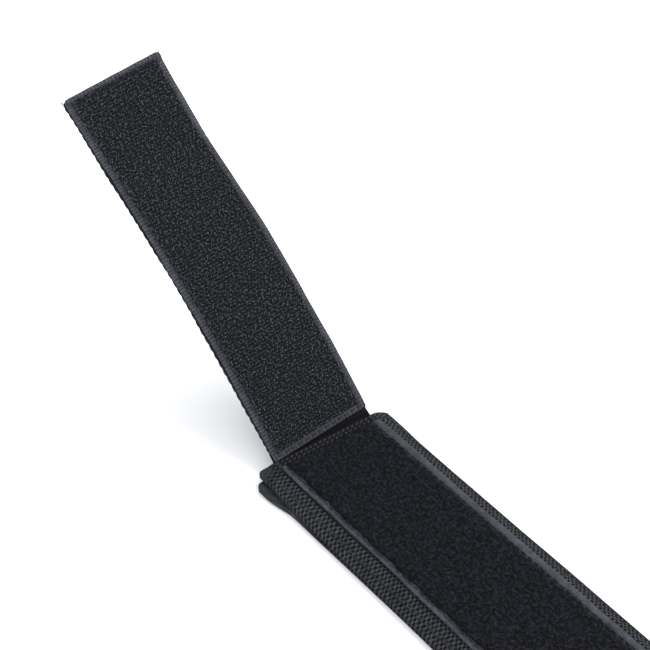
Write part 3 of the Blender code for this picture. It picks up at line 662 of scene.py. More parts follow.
# ---------------------------------------------------------------- geometry node trees
def geometry_tree(name, inputs):
    """A tree with a geometry input and named size inputs. Gives its nodes and the inputs' values."""
    tree = bpy.data.node_groups.new(name, "GeometryNodeTree")
    tree.interface.new_socket("Geometry", in_out="INPUT", socket_type="NodeSocketGeometry")
    tree.interface.new_socket("Geometry", in_out="OUTPUT", socket_type="NodeSocketGeometry")
    for label, (kind, default) in inputs.items():
        socket = tree.interface.new_socket(label, in_out="INPUT", socket_type=kind)
        if default is not None:
            socket.default_value = default
    nodes = Nodes(tree)
    source = nodes.add("NodeGroupInput", None, None, None)
    values = {label: Value(nodes, source.outputs[label]) for label in ("Geometry", *inputs)}
    return nodes, values


def close_tree(nodes, geometry, material):
    """Realize Instances and Set Material, then the tree's output."""
    real = nodes.add("GeometryNodeRealizeInstances", None, {"Geometry": geometry})
    painted = nodes.add("GeometryNodeSetMaterial", None, {"Geometry": real, "Material": material})
    smooth = nodes.add("GeometryNodeSetShadeSmooth", None, {"Geometry": painted, "Shade Smooth": True})
    nodes.add("NodeGroupOutput", None, {"Geometry": smooth}, None)
    return nodes.tree


def grow(name, source, tree, look, sizes):
    """Runs a tree on a source object and gives the result as a plain piece. The source goes."""
    modifier = source.modifiers.new("grow", "NODES")
    modifier.node_group = tree
    given = dict(sizes)
    given["Finish"] = finish(look)
    for socket in tree.interface.items_tree:
        if socket.in_out == "INPUT" and socket.name in given:
            modifier[socket.identifier] = given[socket.name]
    bpy.context.view_layer.update()
    graph = bpy.context.evaluated_depsgraph_get()
    mesh = bpy.data.meshes.new_from_object(source.evaluated_get(graph))
    source.modifiers.remove(modifier)
    bpy.data.objects.remove(source)
    if not mesh.polygons:
        raise RuntimeError(name + " came out empty")
    mesh.name = name
    return linked(name, mesh)


def guide(name, points, ups):
    """A line of edges for a tree to follow. ups is the way out of the cloth, once or at each point."""
    mesh = bpy.data.meshes.new(name)
    mesh.from_pydata([tuple(p) for p in points], [(i, i + 1) for i in range(len(points) - 1)], [])
    attribute = mesh.attributes.new("up", "FLOAT_VECTOR", "POINT")
    attribute.data.foreach_set("vector", np.broadcast_to(ups, (len(points), 3)).astype(np.float32).ravel())
    return linked(name, mesh)


def named_vector(nodes, name):
    return nodes.add(
        "GeometryNodeInputNamedAttribute", {"data_type": "FLOAT_VECTOR"}, {"Name": name}, "Attribute")


def frame_rotation(nodes, along, up):
    """Turns X along the path and Z away from the cloth."""
    return nodes.add(
        "FunctionNodeAxesToRotation", {"primary_axis": "Z", "secondary_axis": "X"},
        {"Primary Axis": up, "Secondary Axis": along}, "Rotation")


def random_vector(nodes, least, most, seed):
    return nodes.add(
        "FunctionNodeRandomValue", {"data_type": "FLOAT_VECTOR"},
        {"Min": least, "Max": most, "Seed": seed}, 0)


def combine(nodes, x, y, z):
    return nodes.add("ShaderNodeCombineXYZ", None, {"X": x, "Y": y, "Z": z})


def points_along(nodes, source, pitch):
    """Points at that pitch along a line of edges, and the tangent at each."""
    line = nodes.add("GeometryNodeMeshToCurve", None, {"Mesh": source})
    return nodes.add(
        "GeometryNodeCurveToPoints", {"mode": "LENGTH"}, {"Curve": line, "Length": pitch},
        ("Points", "Tangent"))


def leant(nodes, turn, lean):
    """A rotation leant by Euler angles about its own axes."""
    lean = nodes.add("FunctionNodeEulerToRotation", None, {"Euler": lean})
    return nodes.add(
        "FunctionNodeRotateRotation", {"rotation_space": "LOCAL"}, {"Rotation": turn, "Rotate By": lean})


def drawn_wire(nodes, curve, radius):
    """A three-sided wire along a curve."""
    profile = nodes.add(
        "GeometryNodeCurvePrimitiveCircle", {"mode": "RADIUS"}, {"Resolution": 3, "Radius": radius})
    return nodes.add(
        "GeometryNodeCurveToMesh", None, {"Curve": curve, "Profile Curve": profile, "Fill Caps": True})


def stitch_tree():
    """Running stitches along a line: each a short plump length of thread that dips at both ends."""
    nodes, given = geometry_tree("running stitches", {
        "Pitch": ("NodeSocketFloat", 2.6 * MM),
        "Length": ("NodeSocketFloat", 2.0 * MM),
        "Width": ("NodeSocketFloat", 0.55 * MM),
        "Height": ("NodeSocketFloat", 0.40 * MM),
        "Slant": ("NodeSocketFloat", 0.0),
        "Seed": ("NodeSocketInt", 7),
        "Finish": ("NodeSocketMaterial", None),
    })
    points, tangent = points_along(nodes, given["Geometry"], given["Pitch"])
    turn = frame_rotation(nodes, tangent, named_vector(nodes, "up"))
    waver = random_vector(nodes, (-0.05, -0.04, -0.10), (0.05, 0.04, 0.10), given["Seed"])
    slant = combine(nodes, 0.0, 0.0, given["Slant"])
    lean = nodes.add("ShaderNodeVectorMath", {"operation": "ADD"}, {0: waver, 1: slant}, "Vector")
    turn = leant(nodes, turn, lean)
    bead = nodes.add("GeometryNodeMeshUVSphere", None, {"Segments": 6, "Rings": 4, "Radius": 0.5})
    bead = nodes.add("GeometryNodeTransform", None, {"Geometry": bead, "Rotation": (0.0, math.pi / 2, 0.0)})
    size = combine(nodes, given["Length"], given["Width"], given["Height"])
    bead = nodes.add("GeometryNodeTransform", None, {"Geometry": bead, "Scale": size})
    laid = nodes.add(
        "GeometryNodeInstanceOnPoints", None, {"Points": points, "Instance": bead, "Rotation": turn})
    return close_tree(nodes, laid, given["Finish"])


def hook_tree():
    """Rows of hooks across a line: each a drawn wire that leans over and turns back down."""
    nodes, given = geometry_tree("hook rows", {
        "Row": ("NodeSocketFloat", 1.25 * MM),
        "Pitch": ("NodeSocketFloat", 0.95 * MM),
        "Half Width": ("NodeSocketFloat", 15.0 * MM),
        "Height": ("NodeSocketFloat", 1.1 * MM),
        "Wire": ("NodeSocketFloat", 0.1 * MM),
        "Seed": ("NodeSocketInt", 7),
        "Finish": ("NodeSocketMaterial", None),
    })
    points, tangent = points_along(nodes, given["Geometry"], given["Row"])
    points = nodes.add(
        "GeometryNodeStoreNamedAttribute", {"data_type": "FLOAT_VECTOR", "domain": "POINT"},
        {"Geometry": points, "Name": "lay", "Value": tangent})
    turn = frame_rotation(nodes, named_vector(nodes, "lay"), named_vector(nodes, "up"))
    count = nodes.math("ROUND", given["Half Width"] * 2.0 / given["Pitch"])
    start = combine(nodes, 0.0, given["Half Width"] * -1.0, 0.0)
    step = combine(nodes, 0.0, given["Half Width"] * 2.0 / (count - 1.0), 0.0)
    row = nodes.add("GeometryNodeMeshLine", None, {"Count": count, "Start Location": start, "Offset": step})
    rows = nodes.add(
        "GeometryNodeInstanceOnPoints", None, {"Points": points, "Instance": row, "Rotation": turn})
    field = nodes.add("GeometryNodeRealizeInstances", None, {"Geometry": rows})
    nudge = random_vector(nodes, (-0.42 * MM, -0.40 * MM, 0.0), (0.42 * MM, 0.40 * MM, 0.0), given["Seed"])
    spread = nodes.add(
        "FunctionNodeRotateVector", None, {"Vector": nudge, "Rotation": turn}, "Vector")
    field = nodes.add("GeometryNodeSetPosition", None, {"Geometry": field, "Offset": spread})
    lean = random_vector(nodes, (-0.18, -0.22, -1.3), (0.18, 0.30, 1.3), given["Seed"] + 11.0)
    turn = leant(nodes, turn, lean)
    high_handle = combine(nodes, given["Height"] * -0.25, 0.0, given["Height"] * 1.35)
    over_handle = combine(nodes, given["Height"] * 0.95, 0.0, given["Height"] * 1.25)
    tip = combine(nodes, given["Height"] * 0.62, 0.0, given["Height"] * 0.42)
    crook = nodes.add(
        "GeometryNodeCurvePrimitiveBezierSegment", {"mode": "POSITION"},
        {"Resolution": 5, "Start": (0.0, 0.0, -0.05 * MM), "Start Handle": high_handle,
         "End Handle": over_handle, "End": tip})
    hook = drawn_wire(nodes, crook, given["Wire"])
    size = nodes.add(
        "FunctionNodeRandomValue", {"data_type": "FLOAT"},
        {"Min_001": 0.8, "Max_001": 1.12, "Seed": given["Seed"] + 5.0}, "Value_001")
    hooks = nodes.add(
        "GeometryNodeInstanceOnPoints", None,
        {"Points": field, "Instance": hook, "Rotation": turn, "Scale": size})
    return close_tree(nodes, hooks, given["Finish"])


def loop_tree():
    """Loops of fibre scattered over the upward faces of a pile."""
    nodes, given = geometry_tree("loop scatter", {
        "Density": ("NodeSocketFloat", 2.1e6),
        "Radius": ("NodeSocketFloat", 0.42 * MM),
        "Fibre": ("NodeSocketFloat", 0.035 * MM),
        "Seed": ("NodeSocketInt", 7),
        "Finish": ("NodeSocketMaterial", None),
    })
    normal = nodes.add("GeometryNodeInputNormal")
    rise = nodes.add("ShaderNodeSeparateXYZ", None, {"Vector": normal}, "Z")
    upward = nodes.math("GREATER_THAN", rise, 0.3)
    points = nodes.add(
        "GeometryNodeDistributePointsOnFaces", {"distribute_method": "RANDOM"},
        {"Mesh": given["Geometry"], "Selection": upward, "Density": given["Density"], "Seed": given["Seed"]})
    bow = nodes.add(
        "GeometryNodeCurveArc", {"mode": "RADIUS"},
        {"Resolution": 4, "Radius": given["Radius"], "Start Angle": -0.3, "Sweep Angle": math.pi + 0.6})
    bow = nodes.add("GeometryNodeTransform", None, {"Geometry": bow, "Rotation": (math.pi / 2, 0.0, 0.0)})
    bow = drawn_wire(nodes, bow, given["Fibre"])
    tumble = random_vector(nodes, (-0.9, -0.5, 0.0), (0.9, 0.5, math.tau), given["Seed"] + 3.0)
    size = random_vector(nodes, (0.6, 0.6, 0.5), (1.4, 1.4, 1.15), given["Seed"] + 9.0)
    loops = nodes.add(
        "GeometryNodeInstanceOnPoints", None,
        {"Points": points, "Instance": bow, "Rotation": tumble, "Scale": size})
    return close_tree(nodes, loops, given["Finish"])


def rivet_tree():
    """A domed head on each point."""
    nodes, given = geometry_tree("domed rivets", {
        "Radius": ("NodeSocketFloat", 1.8 * MM),
        "Rise": ("NodeSocketFloat", 0.9 * MM),
        "Finish": ("NodeSocketMaterial", None),
    })
    ball = nodes.add("GeometryNodeMeshUVSphere", None, {"Segments": 32, "Rings": 16, "Radius": 1.0})
    size = combine(nodes, given["Radius"], given["Radius"], given["Rise"])
    ball = nodes.add("GeometryNodeTransform", None, {"Geometry": ball, "Scale": size})
    place = nodes.add("GeometryNodeInputPosition")
    flat = nodes.add(
        "ShaderNodeVectorMath", {"operation": "MAXIMUM"}, {0: place, 1: (-1.0, -1.0, 0.0)}, "Vector")
    dome = nodes.add("GeometryNodeSetPosition", None, {"Geometry": ball, "Position": flat})
    heads = nodes.add("GeometryNodeInstanceOnPoints", None, {"Points": given["Geometry"], "Instance": dome})
    return close_tree(nodes, heads, given["Finish"])


TREES = {}


def tree(name):
    """The named tree, made once."""
    makers = {"stitches": stitch_tree, "hooks": hook_tree, "loops": loop_tree, "rivets": rivet_tree}
    if name not in TREES:
        TREES[name] = makers[name]()
    return TREES[name]


def sew(name, points, ups, pitch=None, length=None, slant=0.0, look="sewing thread", width=None):
    """A row of stitches along those points."""
    weave = bpy.context.scene.tourniquet_weave
    width = width or weave.thread_width
    sizes = {
        "Pitch": pitch or weave.stitch_pitch,
        "Length": length or weave.stitch_length,
        "Width": width,
        "Height": width * 0.9,
        "Slant": slant,
        "Seed": weave.seed,
    }
    return grow(name, guide(name + "_guide", points, ups), tree("stitches"), look, sizes)


# ---------------------------------------------------------------- the sleeve
def mouth_line(across):
    """How far the sleeve's mouth, cut a little askew, lies from its square end."""
    corner = 2.2 * MM
    into = np.clip(np.abs(across) - (SLEEVE_HALF - corner), 0.0, corner)
    return -1.3 * MM + MOUTH_SLANT * across + corner - np.sqrt(corner**2 - into**2)


def corner_lift(stations, across):
    """1 at the mouth's near corner, where the margins stand apart, and 0 away from it."""
    along = ease(stations, MOUTH_X + 26 * MM, MOUTH_X)[:, None]
    return along * ease(-across, *CORNER_EDGE)[None, :]


def drawn_in(stations, across):
    """The far margin is drawn in by its seam, a little less at the mouth."""
    pull = 0.6 * MM + 0.65 * MM * ease(stations, MOUTH_X, MOUTH_X + 20 * MM)
    return pull[:, None] * ease(across, FREE_MARGIN, SLEEVE_HALF)[None, :]


def margin_droop(across):
    """How far the upper layer comes down beside the flat tape to its sewn margin."""
    t = np.clip((np.abs(across) - FLAT_HALF) / (SLEEVE_HALF - FLAT_HALF), 0.0, 1.0)
    return MARGIN_DROP * (1.0 - np.cos(math.pi * t)) / 2.0


def lattice_relief(spine, across, fade_from, fade_to):
    """Relief of the open weave, fading out along the sleeve."""
    weave = bpy.context.scene.tourniquet_weave
    wave = np.cos(spine.along[:, None] * math.tau / weave.lattice_along)
    wave = wave * np.cos(across[None, :] * math.tau / weave.lattice_across)
    fade = 1.0 - ease(spine.along, fade_from, fade_to)
    return -weave.lattice_depth * ease(wave, 0.0, 0.9) * fade[:, None]


def margin_only(rows, start, end):
    """1 on the sleeve's two margins, from 0 at start to 1 at end, and 0 again on the rounded edge."""
    out = np.abs(rows)
    return (ease(out, start, end) * ease(out, SLEEVE_HALF, SLEEVE_HALF - 0.8 * MM))[None, :]


def sleeve_spine(x0, x1, fine_to, fine, coarse):
    near = np.arange(x0, fine_to, fine)
    far = np.linspace(fine_to, x1, max(2, int((x1 - fine_to) / coarse)))
    return flat_spine(np.concatenate([near, far]))


def sleeve_grid(x0, x1):
    """One layer's spine and its places across, both fine near the mouth and at the margins."""
    spine = sleeve_spine(x0, x1, x0 + FINE_RUN, 0.36 * MM, 3.0 * MM)
    return spine, columns(SLEEVE_HALF, 0.0188, 0.33 * MM, 3.0 * MM)


class TOURNIQUET_OT_sleeve(bpy.types.Operator):
    """Make the two-layer woven sleeve, with its open margins and its windlass window"""

    bl_idname = "tourniquet.sleeve"
    bl_label = "Sleeve"

    def execute(self, context):
        self.upper()
        self.lower()
        return {"FINISHED"}

    def upper(self):
        end = high("sleeve_upper").x
        spine, rows = sleeve_grid(MOUTH_X, end)
        window_x, window_y = WINDOW_HALF
        for edge_x in (-window_x, window_x):
            spine.points[np.argmin(np.abs(spine.points[:, 0] - edge_x)), 0] = edge_x
        rows[np.argmin(np.abs(rows - window_y))] = window_y
        rows[np.argmin(np.abs(rows + window_y))] = -window_y
        stations = spine.points[:, 0]
        spine.along = stations.copy()
        lift = corner_lift(stations, rows)
        skew = mouth_line(rows)[None, :] * (1.0 - ease(stations, MOUTH_X, MOUTH_X + 0.05))[:, None]
        across = rows[None, :] - drawn_in(stations, rows) - 0.5 * MM * self.near_edge(stations, rows, 10, 70)
        ripple = 0.16 * MM * drift(stations, 3, 0.083)[:, None]
        ripple = ripple * ease(np.abs(rows), FREE_MARGIN, 0.0240)[None, :]
        middle = (UPPER_LOW + UPPER_TOP) / 2 - margin_droop(rows)[None, :] * (1.0 - 0.85 * lift) + ripple
        middle = middle - 0.4 * MM * lift
        half = edge_round(rows, SLEEVE_HALF, 0.5 * MM)[None, :] * (UPPER_TOP - UPPER_LOW) / 2
        relief = lattice_relief(spine, rows, MOUTH_X + 0.12, MOUTH_X + 0.16)
        relief = relief * margin_only(rows, 0.0186, 0.0194)
        upper = spine.grid(across, middle + half + relief, skew)
        under = spine.grid(across, middle - half, skew)
        mid_x = (stations[1:] + stations[:-1]) / 2
        mid_y = (rows[1:] + rows[:-1]) / 2
        hole = (np.abs(mid_x) < window_x)[:, None] & (np.abs(mid_y) < window_y)[None, :]
        # Painted shade: the middle of the upper layer near the mouth is marked for the throat's near-black
        # colour.
        painted_throat_shade = (1.0 - ease(np.abs(rows), 0.0186, 0.0192))[None, :]
        painted_throat_shade = painted_throat_shade * ease(stations, MOUTH_X + 0.06, MOUTH_X + 0.03)[:, None]
        plain_and_shade = painted_throat_shade + 0.60 * lift * ease(stations, MOUTH_X + 7 * MM, MOUTH_X)[:, None]
        cloth = cloth_grid(spine, rows, np.clip(plain_and_shade, 0.0, 1.0))
        piece = shell("sleeve_upper_cloth", upper, under, cloth, "sleeve cloth", ~hole)
        belongs(piece, ("sleeve_upper",))

    @staticmethod
    def near_edge(stations, rows, start, end):
        """1 on the near margin up to start millimetres from the mouth, fading by end."""
        along = ease(stations, MOUTH_X + end * MM, MOUTH_X + start * MM)[:, None]
        return along * ease(-rows, FREE_MARGIN, 0.0245)[None, :]

    def lower(self):
        start, end = low("sleeve_lower").x, high("sleeve_lower").x
        spine, rows = sleeve_grid(start, end)
        stations = spine.points[:, 0]
        across = rows[None, :] - drawn_in(stations, rows)
        across = across - 0.9 * MM * self.near_edge(stations, rows, 5, 75)
        across = across - 1.9 * MM * self.near_edge(stations, rows, 2, 15)
        back = 0.4 * MM + 2.9 * MM * ease(-rows, *CORNER_EDGE)
        skew = (mouth_line(rows) + back)[None, :] * (1.0 - ease(stations, start, start + 0.05))[:, None]
        edge = edge_round(rows, SLEEVE_HALF, 0.5 * MM)[None, :]
        bead = ease(-rows, 0.0205, 0.0235)[None, :] * ease(stations, start + 34 * MM, start + 4 * MM)[:, None]
        top = LOWER_TOP * (0.5 + edge / 2) + 0.9 * MM * bead * edge
        under = LOWER_TOP * (0.5 - edge / 2)
        relief = lattice_relief(spine, rows, start + 0.12, start + 0.16) * (1.0 - bead)
        relief = relief * margin_only(rows, 0.0190, 0.0200)
        upper, under = spine.grid(across, top + relief, skew), spine.grid(across, under, skew)
        cloth = cloth_grid(spine, rows, np.clip(bead * 1.4, 0.0, 0.6))
        piece = shell("sleeve_lower_cloth", upper, under, cloth, "sleeve cloth")
        belongs(piece, ("sleeve_lower",))


# ---------------------------------------------------------------- loop tape
class TOURNIQUET_OT_loop_tape(bpy.types.Operator):
    """Make the loop tape on the sleeve: its ribbed ground, its pile and the loops that stand on it"""

    bl_idname = "tourniquet.loop_tape"
    bl_label = "Loop Tape"

    def execute(self, context):
        weave = context.scene.tourniquet_weave
        x0, x1 = low("loop_tape").x, high("loop_tape").x
        z0, z1 = low("loop_tape").z, high("loop_tape").z
        spine = sleeve_spine(x0, x1, x0 + FINE_RUN, 1.0 * MM, 4.0 * MM)
        rows = columns(TAPE_HALF, PILE_HALF - 0.6 * MM, 0.5 * MM, 4.0 * MM, 0.3 * MM)
        stations = spine.points[:, 0]
        wide = 1.0 + 0.012 * drift(stations, 5, 0.061)
        skew = (MOUTH_SLANT * rows - 0.6 * MM)[None, :] * (1.0 - ease(stations, x0, x0 + 0.05))[:, None]
        across = rows[None, :] * wide[:, None]
        half = edge_round(rows, TAPE_HALF, 0.35 * MM)[None, :] * (z1 - z0) / 2
        wave = 0.10 * MM * drift(stations, 8, 0.047)[:, None] * ease(np.abs(rows), 0.0150, 0.0185)[None, :]
        middle = (z0 + z1) / 2 + np.abs(wave)
        ground = shell(
            "loop_tape_ground", spine.grid(across, middle + half, skew),
            spine.grid(across, middle - half, skew), cloth_grid(spine, across), "loop ground")
        belongs(ground, ("loop_tape",))
        rear = x0 + 0.175
        self.pile("loop_pile_front", x0 - 0.1 * MM, rear, 0.55 * MM, 11, weave.loop_density)
        self.pile("loop_pile_rear", rear + 0.02 * MM, x1, 1.1 * MM, 12, weave.loop_density * 0.30)
        return {"FINISHED"}

    def pile(self, name, x0, x1, cell, seed, density):
        """A matted bed of pile with loops standing out of it."""
        weave = bpy.context.scene.tourniquet_weave
        z0, z1 = low("loop_pile").z - 0.35 * MM, high("loop_pile").z - 0.25 * MM
        spine = flat_spine(np.arange(x0, x1, cell))
        rows = columns(PILE_HALF, PILE_HALF - 2.0 * MM, cell * 0.8, cell, 0.7 * MM)
        stations = spine.points[:, 0]
        rng = np.random.default_rng(seed)
        rough = rng.normal(0.0, 0.13 * MM, (len(stations), len(rows)))
        rough = (rough + np.roll(rough, 1, 0) + np.roll(rough, 1, 1)) / 1.7
        mat = 0.10 * MM * drift(stations, seed, 0.021)[:, None] * drift(rows, seed + 1, 0.017)[None, :]
        edge = edge_round(rows, PILE_HALF, 2.0 * MM, 0.12)[None, :]
        ends = ease(stations, x0, x0 + 1.0 * MM)[:, None] if seed == 11 else 1.0
        wander = 1.0 + 0.024 * drift(stations, seed + 2, 0.013) + rng.normal(0.0, 0.008, len(stations))
        spread = 1.3 * MM * ease(-rows, -0.0100, PILE_HALF)
        across = rows[None, :] * wander[:, None] - spread[None, :]
        skew = (MOUTH_SLANT * rows - 0.6 * MM)[None, :]
        skew = skew * (1.0 - ease(stations, MOUTH_X, MOUTH_X + 0.053))[:, None]
        height = z0 + (z1 - z0) * edge * (0.4 + 0.6 * ends) + (rough + mat) * edge
        bed = shell(
            name, spine.grid(across, height, skew), spine.grid(across, z0, skew),
            cloth_grid(spine, across), "loop pile", sharp=180.0)
        twin = linked(name + "_source", bed.data.copy())
        for vertex in twin.data.vertices:
            vertex.co.y *= 1.055
        sizes = {
            "Density": density, "Radius": weave.loop_radius, "Fibre": weave.loop_fibre,
            "Seed": weave.seed + seed,
        }
        loops = grow(name + "_loops", twin, tree("loops"), "loop pile", sizes)
        for piece in (bed, loops):
            belongs(piece, ("loop_pile",))


# ---------------------------------------------------------------- the pull tab
def tab_frame(along, offset=0.0):
    """A point of the tab's bow, and the direction away from its hook face."""
    bend = (TAB_ROOT - TAB_TIP) / TAB_LENGTH
    along = np.asarray(along, float)
    angle = TAB_ROOT - bend * along
    up = np.stack([np.sin(angle), np.zeros_like(angle), np.cos(angle)], -1)
    x = HINGE_X - (math.sin(TAB_ROOT) - np.sin(angle)) / bend
    z = STRAP_MID + (np.cos(angle) - math.cos(TAB_ROOT)) / bend
    return np.stack([x, np.zeros_like(angle), z], -1) + up * offset, up


def tab_spine(start, end, step=1.0 * MM):
    along = np.linspace(start, end, max(2, int((end - start) / step) + 1))
    points, ups = tab_frame(along)
    return Spine(points, [(0, 1, 0)] * len(along), ups, along)


def tip_corner(along, rows):
    """How far each point of the tab is drawn in to round the two corners of its tip."""
    turn = np.clip((along - TAB_LENGTH + 2.0 * MM) / (2.0 * MM), 0.0, 0.98)
    return (1.5 * MM * (1.0 - np.sqrt(1.0 - turn**2)))[:, None] * (rows / TAPE_HALF)[None, :] ** 3


def set_tab(piece):
    """Gives the tab its set: a little wider on one side near its root, and its tip turned up and askew."""
    bend = (TAB_ROOT - TAB_TIP) / TAB_LENGTH
    centre_x, centre_z = HINGE_X - math.sin(TAB_ROOT) / bend, STRAP_MID - math.cos(TAB_ROOT) / bend
    points = np.zeros(len(piece.data.vertices) * 3)
    piece.data.vertices.foreach_get("co", points)
    points = points.reshape(-1, 3)
    angle = np.arctan2(points[:, 0] - centre_x, points[:, 2] - centre_z)
    along = (TAB_ROOT - angle) / bend
    side = points[:, 1] / TAPE_HALF
    wide = 1.0 * MM * ease(side, -1.0, 1.0) * ease(along, -7 * MM, -1 * MM)
    wide = wide * (1.0 - ease(along, 0.060, 0.115))
    turned = np.clip((along - 0.104) / 0.037, 0.0, None) ** 1.8
    up = (3.20 + 1.68 * side) * MM * turned
    ahead = (0.81 * side - 1.65) * MM * turned
    points[:, 0] += up * np.sin(angle) - ahead * np.cos(angle)
    points[:, 1] += wide
    points[:, 2] += up * np.cos(angle) + ahead * np.sin(angle)
    piece.data.vertices.foreach_set("co", points.ravel())
    piece.data.update()


def bend_with_tab(piece, node_names):
    """Gives a piece of the tab its set, hides the frame's nodes that it stands for, and bakes its place into
    its mesh.
    """
    set_tab(piece)
    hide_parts(*node_names)
    end, _ = tab_frame(9 * MM)
    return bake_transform(piece)


class TOURNIQUET_OT_pull_tab(bpy.types.Operator):
    """Make the pull tab: webbing with scalloped edges, hook tape with ribbed edges, and its rows of hooks"""

    bl_idname = "tourniquet.pull_tab"
    bl_label = "Pull Tab"

    def execute(self, context):
        self.webbing()
        self.tape()
        self.hooks()
        self.fray()
        return {"FINISHED"}

    def webbing(self):
        weave = bpy.context.scene.tourniquet_weave
        tail_end = high("tab_tail").x
        tail = [(x, STRAP_MID) for x in np.linspace(tail_end, HINGE_X + 1.4 * MM, 24)]
        root, _ = tab_frame(3.2 * MM)
        for t in np.linspace(0.0, 1.0, 8)[1:-1]:
            one, two = (HINGE_X + 1.4 * MM, STRAP_MID), (HINGE_X - 0.1 * MM, STRAP_MID)
            corners = zip(one, two, (root[0], root[2]))
            tail.append(tuple((1 - t) ** 2 * a + 2 * t * (1 - t) * b + t * t * c for a, b, c in corners))
        arc, _ = tab_frame(np.arange(3.2 * MM, TAB_LENGTH, 0.5 * MM))
        path = tail + [(p[0], p[2]) for p in arc]
        path.append(tuple(tab_frame(TAB_LENGTH)[0][[0, 2]]))
        spine = plane_spine(path, step=0.45 * MM)
        spine.ups = -spine.ups
        total = spine.along[-1]
        spine.along = spine.along - (total - TAB_LENGTH)
        rows = columns(TAPE_HALF, 0.0165, 0.4 * MM, 0.45 * MM, 0.5 * MM)
        out = ease(np.abs(rows), 0.0165, TAPE_HALF)
        other_side = (rows[None, :] > 0) * 1.1
        turn = np.abs(np.cos(spine.along[:, None] * math.pi / weave.scallop_pitch + other_side))
        scallop = weave.scallop_depth * (turn - 0.45) * out[None, :] * ease(spine.along, 0.0, 4 * MM)[:, None]
        wander = 0.22 * MM * drift(spine.along, 21, 0.071)[:, None] * np.sign(rows)[None, :]
        shown = ease(spine.along, -2 * MM, 8 * MM)[:, None]
        across = rows[None, :] + scallop * np.sign(rows)[None, :] + wander * out[None, :] * shown
        body = edge_round(rows, TAPE_HALF, 0.5 * MM)[None, :] * STRAP_T / 2
        body = body * (1.0 + 0.10 * (turn - 0.5) * out[None, :])
        last = ease(spine.along, TAB_LENGTH - 1.2 * MM, TAB_LENGTH)[:, None]
        knuckle = 0.34 * MM * (np.abs(np.cos(rows * math.pi / (1.8 * MM))) - 0.5)[None, :]
        hem = ease(spine.along, TAB_LENGTH - 4.0 * MM, TAB_LENGTH - 2.2 * MM)[:, None]
        body = body * (1.0 + 0.32 * hem) * (1.0 - 0.45 * last**6)
        slant = MOUTH_SLANT * rows[None, :] * (1.0 - ease(np.abs(spine.along), 0.0, 14 * MM))[:, None]
        forward = knuckle * last - slant
        across = across - tip_corner(spine.along, rows)
        # Painted shade: the tab's first few millimetres, and its tail inside the sleeve, are darkened for the
        # shade of the mouth.
        soil_and_painted_shade = 0.85 * (1.0 - ease(spine.along, 2 * MM, 5 * MM))[:, None]
        piece = shell(
            "tab_strap", spine.grid(across, body, forward), spine.grid(across, -body, forward),
            cloth_grid(spine, across, soil_and_painted_shade), "webbing weave")
        bend_with_tab(piece, ("tab_webbing", "tab_tail"))

    def tape(self):
        spine = tab_spine(2.8 * MM, TAB_LENGTH - 0.1 * MM, 0.4 * MM)
        rows = columns(TAPE_HALF, PILE_HALF, 0.4 * MM, 3.0 * MM, 0.3 * MM)
        rows = rows * (1.0 - 0.15 * MM / TAPE_HALF)
        wide = 1.0 + 0.010 * drift(spine.along, 31, 0.053)
        curl = 0.10 * MM * ease(np.abs(rows), 0.0170, TAPE_HALF)[None, :]
        across = rows[None, :] * wide[:, None] - tip_corner(spine.along, rows)
        body = edge_round(rows, rows[-1], 0.3 * MM)[None, :] * 0.3 * MM
        hem = ease(spine.along, TAB_LENGTH - 3.4 * MM, TAB_LENGTH - 1.9 * MM)[:, None]
        root = 0.75 * ease(spine.along, 5.6 * MM, 4.6 * MM)[:, None]
        nose = np.clip((spine.along - TAB_LENGTH + 1.3 * MM) / (1.3 * MM), 0.0, 1.0)[:, None]
        knuckle = 0.10 * MM * np.cos(rows * math.tau / (1.35 * MM))[None, :] * hem
        middle = 1.25 * MM - curl + 0.42 * MM * hem + knuckle
        middle = middle - 0.95 * MM * (1.0 - np.sqrt(1.0 - 0.96 * nose**2))
        piece = shell(
            "hook_tape_ground", spine.grid(across, middle + body), spine.grid(across, middle - body),
            cloth_grid(spine, across, np.maximum(hem, root) * np.ones_like(across)), "hook edge")
        bend_with_tab(piece, ("hook_tape",))

    def hooks(self):
        weave = bpy.context.scene.tourniquet_weave
        spine = tab_spine(5.2 * MM, 138.9 * MM, 0.32 * MM)
        half = PILE_HALF + 0.8 * MM
        rows = columns(half, half - 1.0 * MM, 0.5 * MM, 0.6 * MM, 0.4 * MM)
        ridge = np.cos(spine.along * math.tau / weave.hook_row)
        rise = 0.10 * MM * ridge[:, None] * (1.0 + 0.35 * drift(rows, 41, 0.004)[None, :])
        edge = edge_round(rows, half, 0.9 * MM, 0.1)[None, :]
        upper = spine.grid(rows, 1.62 * MM + (0.30 * MM + rise) * edge)
        ground = shell(
            "hook_ground", upper, spine.grid(rows, 1.56 * MM), cloth_grid(spine, rows), "hook ground",
            sharp=180.0)
        bend_with_tab(ground, ("hook_field",))
        sizes = {
            "Row": weave.hook_row, "Pitch": weave.hook_pitch, "Half Width": half + 0.5 * MM,
            "Height": weave.hook_height, "Wire": weave.hook_wire, "Seed": weave.seed,
        }
        for name, start, end in (("hook_rows", 5.4, 136.2), ("hook_hem_rows", 137.9, 139.1)):
            points, ups = tab_frame(np.linspace(start * MM, end * MM, 140), 1.78 * MM)
            hooks = grow(name, guide(name + "_guide", points, ups), tree("hooks"), "hook wire", sizes)
            bend_with_tab(hooks, ("hook_field",))

